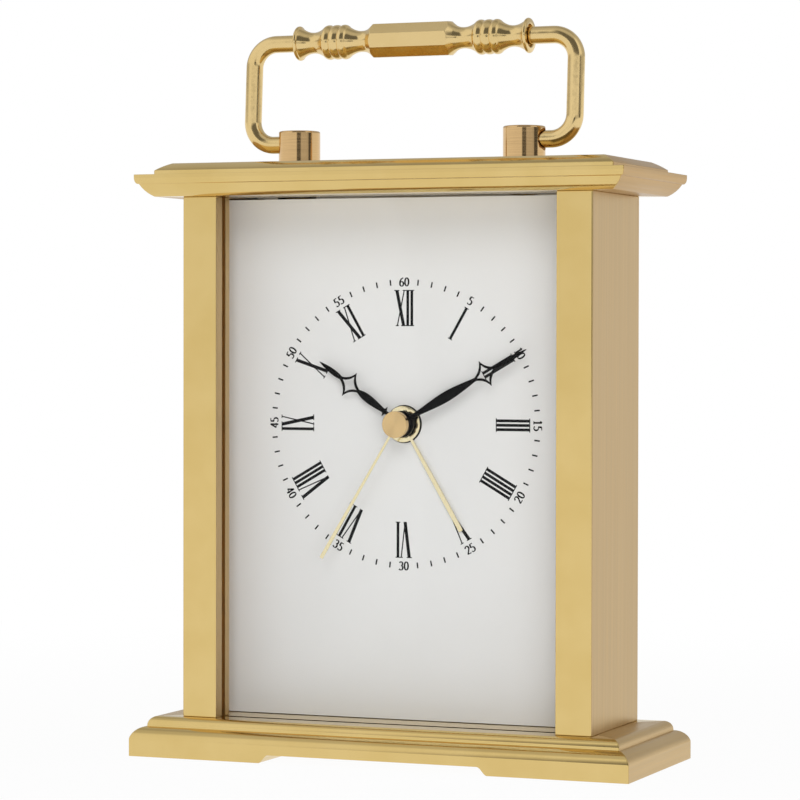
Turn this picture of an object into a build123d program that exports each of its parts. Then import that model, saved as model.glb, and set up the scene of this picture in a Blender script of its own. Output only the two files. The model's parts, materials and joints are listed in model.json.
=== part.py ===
from build123d import *
import os
from math import acos, asin, cos, pi, radians, sin, sqrt, tan

# Quartz alarm carriage clock. Millimetres. X to the right, -Y towards the viewer, +Z up.
# The origin is the middle of the underside of the base.

# ---------------------------------------------------------------- driving dimensions: case
BASE_HALF_W, BASE_HALF_D = 57.5, 22.06
BASE_TOP = 8.53
BODY_HALF_W, BODY_HALF_D = 47.33, 15.81
BODY_TOP = 122.6
CAP_HALF_W, CAP_HALF_D = 56.14, 22.37
CAP_LIP_TOP = 127.36
CAP_TOP = 130.0
TIER_INSET = 3.3

FOOT_CHANNEL_HALF, FOOT_CHANNEL_RISE, FOOT_OGEE = 24.0, 1.8, 2.4
FELT_THICK, FELT_INNER_X, FELT_OUTER_X, FELT_HALF_D = 0.6, 30.0, 54.0, 18.5

WALL = 3.0
CORNER_CHAMFER = 0.22
FLANGE_W, FLANGE_BACK = 8.06, -8.9
GLASS_FRONT, GLASS_THICK = -12.6, 1.5
GROOVE_DEPTH, GROOVE_SLACK = 1.6, 0.1
GROOVE_BITE = 1.1
RIB_REACH, RIB_THICK = 1.7, 1.25
DOOR_STOP_REACH, DOOR_STOP_Y = 0.6, (12.3, 13.8)
FREE = 0.05

DIAL_FRONT, DIAL_THICK = -3.4, 1.0
DIAL_HALF_W = 44.1
DIAL_HOLE_R = 4.15
DIAL_CENTRE_Z = 73.05

ROD_R, ROD_HEAD_R, ROD_HEAD_H = 1.5, 2.6, 1.8
SLOT_HALF = 0.4
ROD_FRONT = (44.3, -11.0)
ROD_REAR = (42.2, 9.0)
ROD_BITE = 2.6

# ---------------------------------------------------------------- driving dimensions: handle
POST_X, POST_R, POST_TOP, POST_ROUND = 26.4, 4.6, 137.4, 0.45
POST_SCREW_R, POST_SCREW_HEAD_R, POST_SCREW_HEAD_H = 1.48, 3.0, 1.7
POST_SCREW_LENGTH = 2.4
PIVOT_Z = 134.5
HANDLE_LEAN = 3.8
ARM_R, ARM_X, ARM_TOP_Z, ARM_BEND_R = 1.88, 37.8, 157.0, 5.2
ARM_INNER_X = 23.8
RUNNING = 0.06
GRIP_HALF, GRIP_MOUTH_R, GRIP_MOUTH_DEPTH = 27.3, 2.5, 1.0
GRIP_FLAT_HALF, GRIP_ACROSS, GRIP_TURN = 8.75, 7.32, 7.2
GRIP_WAIST_R, GRIP_BEAD_R, GRIP_GROOVE_R, GRIP_SHOULDER_R = 2.3, 3.8, 3.5, 3.3
FIRST_BEAD_X, BEAD_PITCH, BEAD_COUNT = 15.85, 2.0, 3
SPIGOT_R, SPIGOT_X = 1.25, 18.0

# ---------------------------------------------------------------- driving dimensions: rear door
DOOR_HINGE_X, DOOR_HINGE_Y = 41.9, 14.0
DOOR_THICK = 1.5
DOOR_FREE_X = -43.9
DOOR_GAP = 0.5
PIN_R = 0.8
PIN_BITE = 3.0
PIN_ENGAGE = 6.0
KNOB_X, KNOB_Z, KNOB_RIVET_R = -37.5, 66.0, 1.2
KNOB_RIM_R, KNOB_RIM_Y, KNOB_DOME = 2.6, 2.6, 1.9
MAGNET_X, MAGNET_Y, MAGNET_H = (-36.0, -28.0), (9.6, 13.1), 4.0
STRIKE_THICK, STRIKE_MARGIN = 0.8, 0.5

# ---------------------------------------------------------------- driving dimensions: movement
MOVE_HALF_W = 28.5
MOVE_TOP, MOVE_SPLIT_Z, MOVE_BOTTOM = 23.0, -16.2, -33.6
SHELL = 1.0
FRONT_WALL = (-2.35, -1.35)
HOUSING_JOIN = 3.0
BACK_WALL = (9.0, 10.0)
BAY_REAR = 12.0
BATTERY_R, BATTERY_HALF = 7.25, 25.0
BATTERY_Y, BATTERY_DROP = 5.65, -24.9
LUG_X, LUG_R, LUG_THICK = 31.3, 2.4, 1.4
LUG_DROPS = (17.0, -28.0)
STUD_R, STUD_BORE_R, STUD_LENGTH = 2.2, 1.0, 1.7
LUG_SCREW_R, LUG_SCREW_HEAD_R = 0.98, 1.9
BRIDGE_POSTS = ((-15.5, 8.0), (13.5, -13.0), (-12.0, -13.5))
BRIDGE_POST_R, BRIDGE_PEG_R = 1.5, 0.8
BATTERY_WALL_Z = (MOVE_SPLIT_Z - 0.4, MOVE_SPLIT_Z + SHELL)
SWITCH_AT, SWITCH_TRAVEL = (-18.5, -9.5), 3.0
SWITCH_PLATE, SWITCH_STEM, SWITCH_THUMB = (3.4, 2.2), (2.0, 1.0), (2.6, 2.2)
COIL_W, COIL_R, COIL_U = 18.9, 2.8, (-15.5, 3.5)
STATOR_OVERHANG = 3.2
BUZZER_AT, BUZZER_R = (17.6, 12.4), 8.8

# layers of the gear train, front to back: (front y, back y)
ALARM_LAYER = (-1.15, -0.45)
HOUR_LAYER = (-0.25, 0.45)
MOTION_LAYER = (0.65, 1.35)
CENTRE_LAYER = (1.6, 2.2)
THIRD_LAYER = (2.5, 3.1)
SECONDS_LAYER = (3.4, 4.0)
STEP_LAYER = (4.3, 4.9)
BRIDGE_LAYER = (5.05, 5.75)
MAGNET_LAYER = (5.95, 7.45)
STATOR_LAYER = (6.2, 7.0)

ARBOR_R = 0.4
MAGNET_R, ROTOR_SEAT_R = 2.0, 0.8
PIVOT_FREE = 0.05
SECONDS_ARBOR_R = 0.4
MINUTE_PIPE_R, MINUTE_BORE_R = 1.10, 0.46
HOUR_PIPE_R, HOUR_BORE_R = 1.75, 1.16
ALARM_PIPE_R, ALARM_BORE_R = 2.45, 1.81
BOSS_R, BOSS_BORE_R = 3.7, 2.51
FRONT_PIVOT_Y = FRONT_WALL[1] - 0.6
SET_KNOB_R, SET_SHAFT_R, SET_PIVOT_R = 4.1, 1.2, 0.6

# teeth and modules
ROTOR_T, STEP_T, STEP_PINION_T, SECONDS_T = 8, 40, 8, 48
SECONDS_PINION_T, THIRD_T, THIRD_PINION_T, CENTRE_T = 8, 60, 8, 64
CANNON_T, MINUTE_WHEEL_T, MINUTE_PINION_T, HOUR_T = 12, 36, 10, 40
SET_PINION_T = 12
ALARM_T, ALARM_PINION_T = 40, 20
M_ROTOR, M_STEP, M_THIRD, M_MOTION, M_ALARM = 0.25, 0.30, 0.25, 0.35, 0.35
ADDENDUM, DEDENDUM, BACKLASH = 0.80, 1.15, 0.24
PRESSURE = radians(20)


def centres(teeth_a, teeth_b, module):
    """Distance between the axes of two meshed gears."""
    return module * (teeth_a + teeth_b) / 2


def polar(origin, distance, angle_deg):
    """Point at a distance and angle (anticlockwise from +X, seen from the front)."""
    a = radians(angle_deg)
    return (origin[0] + distance * cos(a), origin[1] + distance * sin(a))


D_THIRD = centres(SECONDS_PINION_T, THIRD_T, M_THIRD)
M_CENTRE = 2 * D_THIRD / (THIRD_PINION_T + CENTRE_T)
D_MOTION = centres(CANNON_T, MINUTE_WHEEL_T, M_MOTION)
M_HOUR = 2 * D_MOTION / (MINUTE_PINION_T + HOUR_T)

# axes of the train relative to the dial centre, and the directions between them
THIRD_DIR, STEP_DIR, ROTOR_DIR, MOTION_DIR, SET_DIR, ALARM_DIR = 200, 130, 100, -20, -20, 30
CENTRE = (0.0, 0.0)
THIRD = polar(CENTRE, D_THIRD, THIRD_DIR)
STEP = polar(CENTRE, centres(STEP_PINION_T, SECONDS_T, M_STEP), STEP_DIR)
ROTOR = polar(STEP, centres(ROTOR_T, STEP_T, M_ROTOR), ROTOR_DIR)
MOTION = polar(CENTRE, D_MOTION, MOTION_DIR)
TIME_SET = polar(MOTION, centres(MINUTE_WHEEL_T, SET_PINION_T, M_MOTION), SET_DIR)
ALARM_SET = polar(CENTRE, centres(ALARM_T, ALARM_PINION_T, M_ALARM), ALARM_DIR)

# hands: angles clockwise from twelve, lengths from the arbor
HOUR_ANGLE, MINUTE_ANGLE, SECOND_ANGLE, ALARM_ANGLE = 305.0, 60.8, 211.1, 149.5
HOUR_LEN, MINUTE_LEN, SECOND_LEN, ALARM_LEN = 23.5, 33.5, 34.3, 26.7
ALARM_HAND_Y = (-4.1, -3.8)
HOUR_HAND_Y = (-5.2, -4.9)
MINUTE_HAND_Y = (-6.4, -6.1)
SECOND_HAND_Y = (-7.9, -7.6)
CAP_FACE_Y = -9.0
HAND_CAP_R = 2.9
DIAMOND_HALF_W, DIAMOND_RIM, HAND_NECK = 3.05, 0.47, 0.34


# ---------------------------------------------------------------- helpers
def front_plane(y, u=0.0, w=0.0):
    """Plane facing the viewer at depth y, centred u right of and w above the dial centre."""
    return Plane(origin=(u, y, DIAL_CENTRE_Z + w), x_dir=(1, 0, 0), z_dir=(0, -1, 0))


def slab(sketch, layer, at=CENTRE):
    """Extrude a sketch drawn on the dial plane between two depths."""
    front, back = layer
    return extrude(front_plane(back, *at) * sketch, amount=back - front)


def disc(r, layer, at=CENTRE):
    return slab(Circle(r), layer, at)


def tube(r, bore, layer, at=CENTRE):
    return slab(Circle(r) - Circle(bore), layer, at)


def block(x, y, z):
    """Box from its ranges along the three axes."""
    size = (x[1] - x[0], y[1] - y[0], z[1] - z[0])
    middle = ((x[0] + x[1]) / 2, (y[0] + y[1]) / 2, (z[0] + z[1]) / 2)
    return Pos(*middle) * Box(*size)


def local_block(u, y, w):
    """Box placed relative to the dial centre."""
    return block(u, y, (w[0] + DIAL_CENTRE_Z, w[1] + DIAL_CENTRE_Z))


def column(r, z, at):
    """Upright cylinder between two heights."""
    return Pos(at[0], at[1], (z[0] + z[1]) / 2) * Cylinder(r, z[1] - z[0])


def cross_rod(r, x, z):
    """Cylinder lying along X at y = 0."""
    return Pos((x[0] + x[1]) / 2, 0, z) * Rot(0, 90, 0) * Cylinder(r, x[1] - x[0])


def flip(part):
    return mirror(part, about=Plane.YZ)


def leaned(part):
    """Tip a part of the handle back about the pivots."""
    return Pos(0, 0, PIVOT_Z) * Rot(-HANDLE_LEAN, 0, 0) * Pos(0, 0, -PIVOT_Z) * part


def moulded(outline, half_w, half_d):
    """Rectangle with the same moulding mitred round its four sides.

    outline(half) gives the closed section, half being the half width at its widest.
    """
    along_y = extrude(Plane.XZ * make_face(outline(half_w)), amount=half_d, both=True)
    along_x = extrude(Plane.YZ * make_face(outline(half_d)), amount=half_w, both=True)
    return along_y & along_x


def mirrored_section(right_half):
    """Close a right-hand profile, drawn from its foot to its top, about the middle."""
    curves = Curve() + right_half
    left = mirror(curves, about=Plane.YZ)
    foot, head = right_half[0] @ 0, right_half[-1] @ 1
    bottom = Line((foot.X, foot.Y), (-foot.X, foot.Y))
    top = Line((head.X, head.Y), (-head.X, head.Y))
    return curves + left + bottom + top


def quarter(start, end, vertical_first):
    """Convex quarter ellipse between two points, starting upright or level."""
    (x0, z0), (x1, z1) = start, end
    s = sqrt(0.5)
    if vertical_first:
        middle = (x1 + (x0 - x1) * s, z0 + (z1 - z0) * s)
    else:
        middle = (x0 + (x1 - x0) * s, z1 - (z1 - z0) * s)
    return ThreePointArc(start, middle, end)


def swelling(start, end, swell):
    """Arc between two points that stands out to the right of its travel by swell."""
    (x0, z0), (x1, z1) = start, end
    run, rise = x1 - x0, z1 - z0
    length = sqrt(run ** 2 + rise ** 2)
    middle = ((x0 + x1) / 2 + swell * rise / length, (z0 + z1) / 2 - swell * run / length)
    return ThreePointArc(start, middle, end)


# ---------------------------------------------------------------- gears
def involute(angle):
    return tan(angle) - angle


def gear_sketch(teeth, module, phase_deg=0.0):
    """Spur gear outline: involute flanks thinned for backlash, radial below the base circle."""
    pitch_r = module * teeth / 2
    base_r = pitch_r * cos(PRESSURE)
    root_r = pitch_r - DEDENDUM * module
    tip_r = pitch_r + ADDENDUM * module
    at_pitch = pi / (2 * teeth) - BACKLASH * module / (2 * pitch_r)

    def half_angle(r):
        flank = acos(min(1.0, base_r / r)) if r > base_r else 0.0
        return at_pitch + involute(PRESSURE) - involute(flank)

    flank_radii = [root_r, max(base_r, root_r + 0.02), pitch_r, tip_r]
    points = []
    for tooth in range(teeth):
        middle = radians(phase_deg) + 2 * pi * tooth / teeth
        for side in (-1, 1):
            radii = flank_radii if side < 0 else flank_radii[::-1]
            for r in radii:
                a = middle + side * half_angle(r)
                points.append((r * cos(a), r * sin(a)))
    return make_face(Polyline(*points, close=True))


def meshed_phase(direction, teeth_a, phase_a, teeth_b):
    """Phase that puts a gap of gear b on the tooth of gear a, b lying in that direction from a."""
    pitch_a = 360 / teeth_a
    offset_a = (phase_a - direction) % pitch_a
    return direction + 180 - offset_a * teeth_a / teeth_b + 180 / teeth_b


def gear(teeth, module, layer, at, phase=0.0):
    return slab(gear_sketch(teeth, module, phase), layer, at)


# ---------------------------------------------------------------- case
def base_outline(half):
    """Fascia, a large ovolo, a small step and a second ovolo."""
    fascia_top, first_top, second_foot = 3.85, 6.35, 6.55
    first_run, step_run, second_run = 2.7, 3.0, 4.8
    first_swell = 0.55
    return mirrored_section([
        Line((half, 0), (half, fascia_top)),
        swelling((half, fascia_top), (half - first_run, first_top), first_swell),
        Line((half - first_run, first_top), (half - step_run, first_top)),
        Line((half - step_run, first_top), (half - step_run, second_foot)),
        quarter((half - step_run, second_foot), (half - second_run, BASE_TOP), True),
    ])


def foot_channel():
    """Recess between the two bracket feet, with an ogee at each end."""
    h, run, rise = FOOT_CHANNEL_HALF, FOOT_OGEE, FOOT_CHANNEL_RISE
    s = Spline((h + run, -0.01), (h + run * 0.5, rise * 0.5), (h, rise),
               tangents=((-1, 0.15), (-1, 0.35)))
    left = mirror(s, about=Plane.YZ)
    top = Line((h, rise), (-h, rise))
    bottom = Line((h + run, -0.01), (-h - run, -0.01))
    return extrude(Plane.XZ * make_face(Curve() + [s, left, top, bottom]), amount=30, both=True)


def glass_slot(z):
    """Slot across the base or the cap that takes one edge of the glass."""
    half = BODY_HALF_W - FLANGE_W + GROOVE_DEPTH
    return block((-half, half), (GLASS_FRONT - GROOVE_SLACK, GLASS_FRONT + GLASS_THICK + GROOVE_SLACK), z)


def rod_places():
    return [(sx * x, y) for x, y in (ROD_FRONT, ROD_REAR) for sx in (-1, 1)]


def felt_outline(grow=0.0):
    """Footprint of the right-hand felt pad, widened on every side by grow."""
    depth = FELT_HALF_D + grow
    return (FELT_INNER_X - grow, FELT_OUTER_X + grow), (-depth, depth)


def base_plinth():
    body = moulded(base_outline, BASE_HALF_W, BASE_HALF_D) - foot_channel()
    body -= glass_slot((BASE_TOP - GROOVE_BITE, BASE_TOP + 1))
    x, y = felt_outline(FREE)
    pocket = block(x, y, (-1, FELT_THICK))
    body -= [pocket, flip(pocket)]
    for x0, y0 in rod_places():
        body -= column(ROD_R + FREE, (-1, BASE_TOP + 1), (x0, y0))
        body -= column(ROD_HEAD_R + FREE, (-1, FELT_THICK + ROD_HEAD_H + FREE), (x0, y0))
    body -= column(PIN_R, (BASE_TOP - PIN_BITE, BASE_TOP + 1), (DOOR_HINGE_X, DOOR_HINGE_Y))
    return body


def base_felt_pads():
    x, y = felt_outline()
    pad = block(x, y, (0, FELT_THICK))
    return [pad, flip(pad)]


def lip_outline(half):
    """Lower moulding of the cap and its widest layer."""
    under_run, ovolo_run, ovolo_top, ovolo_swell = 3.4, 0.85, 125.3, 0.28
    lip_run, lip_round = 0.65, 126.7
    return mirrored_section([
        swelling((half - under_run, BODY_TOP), (half - ovolo_run, ovolo_top), ovolo_swell),
        Line((half - ovolo_run, ovolo_top), (half - lip_run, ovolo_top)),
        quarter((half - lip_run, ovolo_top), (half, lip_round), False),
        Line((half, lip_round), (half, CAP_LIP_TOP)),
    ])


def tier_outline(half):
    """Upper tier of the cap: a small upright fillet and a low swelling slope."""
    fillet_top, slope_run, swell = 128.32, 3.0, 0.12
    return mirrored_section([
        Line((half, CAP_LIP_TOP - 0.5), (half, fillet_top)),
        swelling((half, fillet_top), (half - slope_run, CAP_TOP), swell),
    ])


def cap_plate():
    body = moulded(lip_outline, CAP_HALF_W, CAP_HALF_D)
    body += moulded(tier_outline, CAP_HALF_W - TIER_INSET, CAP_HALF_D - TIER_INSET)
    body -= glass_slot((BODY_TOP - 1, BODY_TOP + GROOVE_BITE))
    for place in rod_places():
        body -= column(ROD_R + FREE, (BODY_TOP - 1, BODY_TOP + ROD_BITE + 0.2), place)
    for sx in (-1, 1):
        body -= column(POST_SCREW_R + 0.07, (BODY_TOP - 1, CAP_TOP + 1), (sx * POST_X, 0))
        body -= column(POST_SCREW_HEAD_R + 0.1, (BODY_TOP - 1, BODY_TOP + 2.2), (sx * POST_X, 0))
    body -= column(PIN_R, (BODY_TOP - 1, BODY_TOP + PIN_BITE), (DOOR_HINGE_X, DOOR_HINGE_Y))
    return body


def side_frame_right():
    """Extruded side: front flange grooved for the glass, side wall, and ribs that hold the dial."""
    inner = BODY_HALF_W - WALL
    flange_x = BODY_HALF_W - FLANGE_W
    z = (BASE_TOP, BODY_TOP)
    body = block((inner, BODY_HALF_W), (-BODY_HALF_D, BODY_HALF_D), z)
    body += block((flange_x, BODY_HALF_W), (-BODY_HALF_D, FLANGE_BACK), z)
    body -= block((flange_x - 1, flange_x + GROOVE_DEPTH),
                  (GLASS_FRONT - GROOVE_SLACK, GLASS_FRONT + GLASS_THICK + GROOVE_SLACK),
                  (z[0] - 1, z[1] + 1))
    dial_back = DIAL_FRONT + DIAL_THICK
    front_rib = (DIAL_FRONT - FREE - RIB_THICK, DIAL_FRONT - FREE)
    back_rib = (dial_back + FREE, dial_back + FREE + RIB_THICK)
    for rib_y in (front_rib, back_rib):
        body += block((inner - RIB_REACH, inner), rib_y, z)
    body += block((inner - DOOR_STOP_REACH, inner), DOOR_STOP_Y, z)
    body -= column(ROD_R + FREE, (z[0] - 1, z[1] + 1), ROD_FRONT)
    upright = body.edges().filter_by(Axis.Z)
    corners = [e for e in upright if e.center().X > BODY_HALF_W - 0.01]
    return chamfer(corners, CORNER_CHAMFER)


def tie_rods():
    rods = []
    for x, y in rod_places():
        rod = column(ROD_R, (FELT_THICK + 0.2, BODY_TOP + ROD_BITE), (x, y))
        head = column(ROD_HEAD_R, (FELT_THICK + 0.1, FELT_THICK + ROD_HEAD_H), (x, y))
        slot = block((x - 3, x + 3), (y - SLOT_HALF, y + SLOT_HALF), (0, FELT_THICK + 0.8))
        rods.append(rod + head - slot)
    return rods


def front_glass():
    half = BODY_HALF_W - FLANGE_W + GROOVE_DEPTH - 0.3
    bite = GROOVE_BITE - 0.2
    return block((-half, half), (GLASS_FRONT, GLASS_FRONT + GLASS_THICK), (BASE_TOP - bite, BODY_TOP + bite))


def stud_places():
    return [(sx * LUG_X, w) for w in LUG_DROPS for sx in (-1, 1)]


def dial_plate():
    plate = block((-DIAL_HALF_W, DIAL_HALF_W), (DIAL_FRONT, DIAL_FRONT + DIAL_THICK),
                  (BASE_TOP + 0.1, BODY_TOP - 0.3))
    return plate - disc(DIAL_HOLE_R, (DIAL_FRONT - 1, DIAL_FRONT + DIAL_THICK + 1))


def dial_studs():
    back = DIAL_FRONT + DIAL_THICK
    return [tube(STUD_R, STUD_BORE_R, (back, back + STUD_LENGTH), place) for place in stud_places()]


# ---------------------------------------------------------------- handle
def handle_post_right():
    """Pillar with a cross bore for the arm and a tapped hole for its screw."""
    post = column(POST_R, (CAP_TOP, POST_TOP), (POST_X, 0))
    post = fillet(post.edges().filter_by(GeomType.CIRCLE).sort_by(Axis.Z)[-1], POST_ROUND)
    outside = POST_X + POST_R
    post -= cross_rod(ARM_R + RUNNING, (ARM_INNER_X - 0.4, outside + 1), PIVOT_Z)
    post -= cross_rod(ARM_R + 0.5, (outside - 0.75, outside + 1), PIVOT_Z)
    post -= column(POST_SCREW_R + 0.02, (CAP_TOP - 1, CAP_TOP + POST_SCREW_LENGTH + 0.1), (POST_X, 0))
    return post


def handle_post_screws():
    screws = []
    head_foot = BODY_TOP + 0.5
    for x in (-POST_X, POST_X):
        shank = column(POST_SCREW_R, (head_foot + 0.1, CAP_TOP + POST_SCREW_LENGTH), (x, 0))
        head = column(POST_SCREW_HEAD_R, (head_foot, head_foot + POST_SCREW_HEAD_H), (x, 0))
        slot = block((x - 3.5, x + 3.5), (-SLOT_HALF, SLOT_HALF), (BODY_TOP, head_foot + 0.7))
        screws.append(shank + head - slot)
    return screws


def handle_arm_right():
    """Bent rod: in from the post, round the lower bend, up, round the upper bend, into the grip."""
    r, x, low, high = ARM_BEND_R, ARM_X, PIVOT_Z, ARM_TOP_Z
    seat = GRIP_HALF - GRIP_MOUTH_DEPTH
    path = Curve() + [
        Line((ARM_INNER_X, low), (x - r, low)),
        CenterArc((x - r, low + r), r, -90, 90),
        Line((x, low + r), (x, high - r)),
        CenterArc((x - r, high - r), r, 0, 90),
        Line((x - r, high), (seat, high)),
    ]
    wire = (Plane.XZ * path).edges()
    section = Plane(origin=(ARM_INNER_X, 0, low), z_dir=(1, 0, 0)) * Circle(ARM_R)
    rod = sweep(section, path=Wire(wire))
    return leaned(rod + cross_rod(SPIGOT_R, (SPIGOT_X, seat + 0.5), high))


def grip_profile():
    """Turned half profile from the middle to one end, as curves above the axis.

    Octagon at its corners, taper, waist, beads between shoulders, waist, rim.
    """
    corner_r = GRIP_ACROSS / 2 / cos(pi / 8)
    taper_end, waist = (10.1, 2.85), (12.0, GRIP_WAIST_R)
    last_bead = FIRST_BEAD_X + (BEAD_COUNT - 1) * BEAD_PITCH
    shoulders = (FIRST_BEAD_X - 0.85, last_bead + 0.85)
    rim_foot, rim_crest, rim_end = (26.45, 3.42), (26.95, GRIP_BEAD_R), (GRIP_HALF, 3.5)
    start = (shoulders[0], GRIP_SHOULDER_R)
    curves = [
        Line((0, corner_r), (GRIP_FLAT_HALF, corner_r)),
        Line((GRIP_FLAT_HALF, corner_r), taper_end),
        Spline(taper_end, waist, start, tangents=((1, -0.65), (1, 0.65))),
    ]
    for i in range(BEAD_COUNT):
        crest = FIRST_BEAD_X + i * BEAD_PITCH
        end = (crest + BEAD_PITCH / 2, GRIP_GROOVE_R)
        if i == BEAD_COUNT - 1:
            end = (shoulders[1], GRIP_SHOULDER_R)
        curves.append(ThreePointArc(start, (crest, GRIP_BEAD_R), end))
        start = end
    curves += [
        Spline(start, (23.45, GRIP_WAIST_R), rim_foot, tangents=((1, -0.65), (1, 0.65))),
        ThreePointArc(rim_foot, rim_crest, rim_end),
    ]
    return curves


def handle_grip():
    """Turned bar with an octagonal middle and a socket for an arm in each end."""
    profile = grip_profile()
    middle, end = profile[0] @ 0, profile[-1] @ 1
    closing = [Line((end.X, end.Y), (end.X, 0)), Line((end.X, 0), (0, 0)), Line((0, 0), (0, middle.Y))]
    half = revolve(Plane.XZ * make_face(Curve() + profile + closing), axis=Axis.X)
    turned = half + flip(half)
    reach = GRIP_FLAT_HALF + 1.2
    octagon = Rot(0, 0, 22.5 + GRIP_TURN) * RegularPolygon(GRIP_ACROSS / 2, 8, major_radius=False)
    facets = extrude(Plane.YZ * octagon, amount=reach, both=True)
    around = block((-reach, reach), (-9, 9), (-9, 9))
    grip = (turned & facets) + (turned - around)
    for sx in (-1, 1):
        grip -= cross_rod(SPIGOT_R + 0.01, sorted((sx * (SPIGOT_X - 0.1), sx * 30)), 0)
        grip -= cross_rod(GRIP_MOUTH_R, sorted((sx * (GRIP_HALF - GRIP_MOUTH_DEPTH), sx * 30)), 0)
    return leaned(Pos(0, 0, ARM_TOP_Z) * grip)


# ---------------------------------------------------------------- rear door
def door_heights():
    return BASE_TOP + DOOR_GAP, BODY_TOP - DOOR_GAP


def rear_door():
    z = door_heights()
    plate = block((DOOR_FREE_X, DOOR_HINGE_X), (DOOR_HINGE_Y, DOOR_HINGE_Y + DOOR_THICK), z)
    knuckle = column(DOOR_THICK, z, (DOOR_HINGE_X, DOOR_HINGE_Y))
    door = plate + knuckle
    for span in ((z[0] - 1, z[0] + PIN_ENGAGE), (z[1] - PIN_ENGAGE, z[1] + 1)):
        door -= column(PIN_R + RUNNING, span, (DOOR_HINGE_X, DOOR_HINGE_Y))
    hole = Pos(KNOB_X, DOOR_HINGE_Y, KNOB_Z) * Rot(90, 0, 0) * Cylinder(KNOB_RIVET_R, 4 * DOOR_THICK)
    return door - hole


def door_hinge_pins():
    z = door_heights()
    low = column(PIN_R, (BASE_TOP - PIN_BITE, z[0] + PIN_ENGAGE - 0.5), (DOOR_HINGE_X, DOOR_HINGE_Y))
    high = column(PIN_R, (z[1] - PIN_ENGAGE + 0.5, BODY_TOP + PIN_BITE), (DOOR_HINGE_X, DOOR_HINGE_Y))
    return [low, high]


def door_knob():
    """Turned knob with a waist and a domed head, riveted through the door."""
    outer = DOOR_HINGE_Y + DOOR_THICK
    rivet_r, foot_r, foot_h, waist = KNOB_RIVET_R - 0.01, 2.2, 0.5, (1.55, 1.4)
    rim = (KNOB_RIM_R, KNOB_RIM_Y)
    dome_r = (KNOB_RIM_R ** 2 + KNOB_DOME ** 2) / (2 * KNOB_DOME)
    half_way = asin(KNOB_RIM_R / dome_r) / 2
    crown = KNOB_RIM_Y + KNOB_DOME
    dome_side = (dome_r * sin(half_way), crown - dome_r * (1 - cos(half_way)))
    stem = [(0, -DOOR_THICK), (rivet_r, -DOOR_THICK), (rivet_r, 0), (foot_r, 0), (foot_r, foot_h)]
    edges = [Line(a, b) for a, b in zip(stem, stem[1:])]
    edges.append(ThreePointArc(stem[-1], waist, rim))
    edges.append(ThreePointArc(rim, dome_side, (0, crown)))
    edges.append(Line((0, crown), stem[0]))
    knob = revolve(make_face(Curve() + edges), axis=Axis.Y)
    return Pos(KNOB_X, outer, KNOB_Z) * knob


def door_magnet():
    """Small block magnet glued under the cap, just inside the door."""
    return block(MAGNET_X, MAGNET_Y, (BODY_TOP - MAGNET_H, BODY_TOP))


def door_strike():
    """Steel tab on the inside of the door that the magnet pulls."""
    x = (MAGNET_X[0] - STRIKE_MARGIN, MAGNET_X[1] + STRIKE_MARGIN)
    z = (BODY_TOP - MAGNET_H - 0.6, BODY_TOP - DOOR_GAP - 0.2)
    return block(x, (DOOR_HINGE_Y - STRIKE_THICK, DOOR_HINGE_Y), z)


# ---------------------------------------------------------------- movement: housing
def bearing(at, r=ARBOR_R):
    """Blind bearing hole in the inner face of the front wall."""
    return disc(r + PIVOT_FREE, (FRONT_WALL[1] - 0.7, FRONT_WALL[1] + 0.01), at)


def movement_front_housing():
    w = (MOVE_BOTTOM, MOVE_TOP)
    outside = local_block((-MOVE_HALF_W, MOVE_HALF_W), (FRONT_WALL[0], HOUSING_JOIN), w)
    inside = local_block((-MOVE_HALF_W + SHELL, MOVE_HALF_W - SHELL), (FRONT_WALL[1], HOUSING_JOIN + 1),
                         (MOVE_SPLIT_Z + SHELL, MOVE_TOP - SHELL))
    bay = local_block((-MOVE_HALF_W + SHELL, MOVE_HALF_W - SHELL), (FRONT_WALL[0] + 0.55, HOUSING_JOIN + 1),
                      (MOVE_BOTTOM + SHELL, MOVE_SPLIT_Z))
    shell = outside - inside - bay
    shell += disc(BOSS_R, (DIAL_FRONT, FRONT_WALL[0]))
    shell -= disc(BOSS_BORE_R, (DIAL_FRONT - 1, FRONT_WALL[1] + 1))
    for at in BRIDGE_POSTS:
        shell += disc(BRIDGE_POST_R, (FRONT_WALL[1], BRIDGE_LAYER[0]), at)
        shell += disc(BRIDGE_PEG_R, (FRONT_WALL[1], BRIDGE_LAYER[1]), at)
    for at in (THIRD, STEP, ROTOR, MOTION):
        shell -= bearing(at)
    for at in (TIME_SET, ALARM_SET):
        shell -= bearing(at, SET_PIVOT_R)
    return shell + movement_lugs()


def movement_lugs():
    """Ears at the four corners that sit on the dial studs."""
    stud_back = DIAL_FRONT + DIAL_THICK + STUD_LENGTH
    y = (stud_back, stud_back + LUG_THICK)
    lugs = []
    for u, w in stud_places():
        reach = sorted((u, (MOVE_HALF_W - 0.5) * (1 if u > 0 else -1)))
        lug = disc(LUG_R, y, (u, w)) + local_block(reach, y, (w - LUG_R, w + LUG_R))
        lugs.append(lug - disc(LUG_SCREW_R + 0.12, (y[0] - 1, y[1] + 1), (u, w)))
    return lugs


def movement_screws():
    stud_back = DIAL_FRONT + DIAL_THICK + STUD_LENGTH
    screws = []
    for place in stud_places():
        shank = disc(LUG_SCREW_R, (stud_back - 1.5, stud_back + 2.0), place)
        head = disc(LUG_SCREW_HEAD_R, (stud_back + LUG_THICK + 0.02, stud_back + 2.6), place)
        slot = local_block((place[0] - 2, place[0] + 2), (stud_back + 2.1, stud_back + 3),
                           (place[1] - 0.25, place[1] + 0.25))
        screws.append(shank + head - slot)
    return screws


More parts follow.
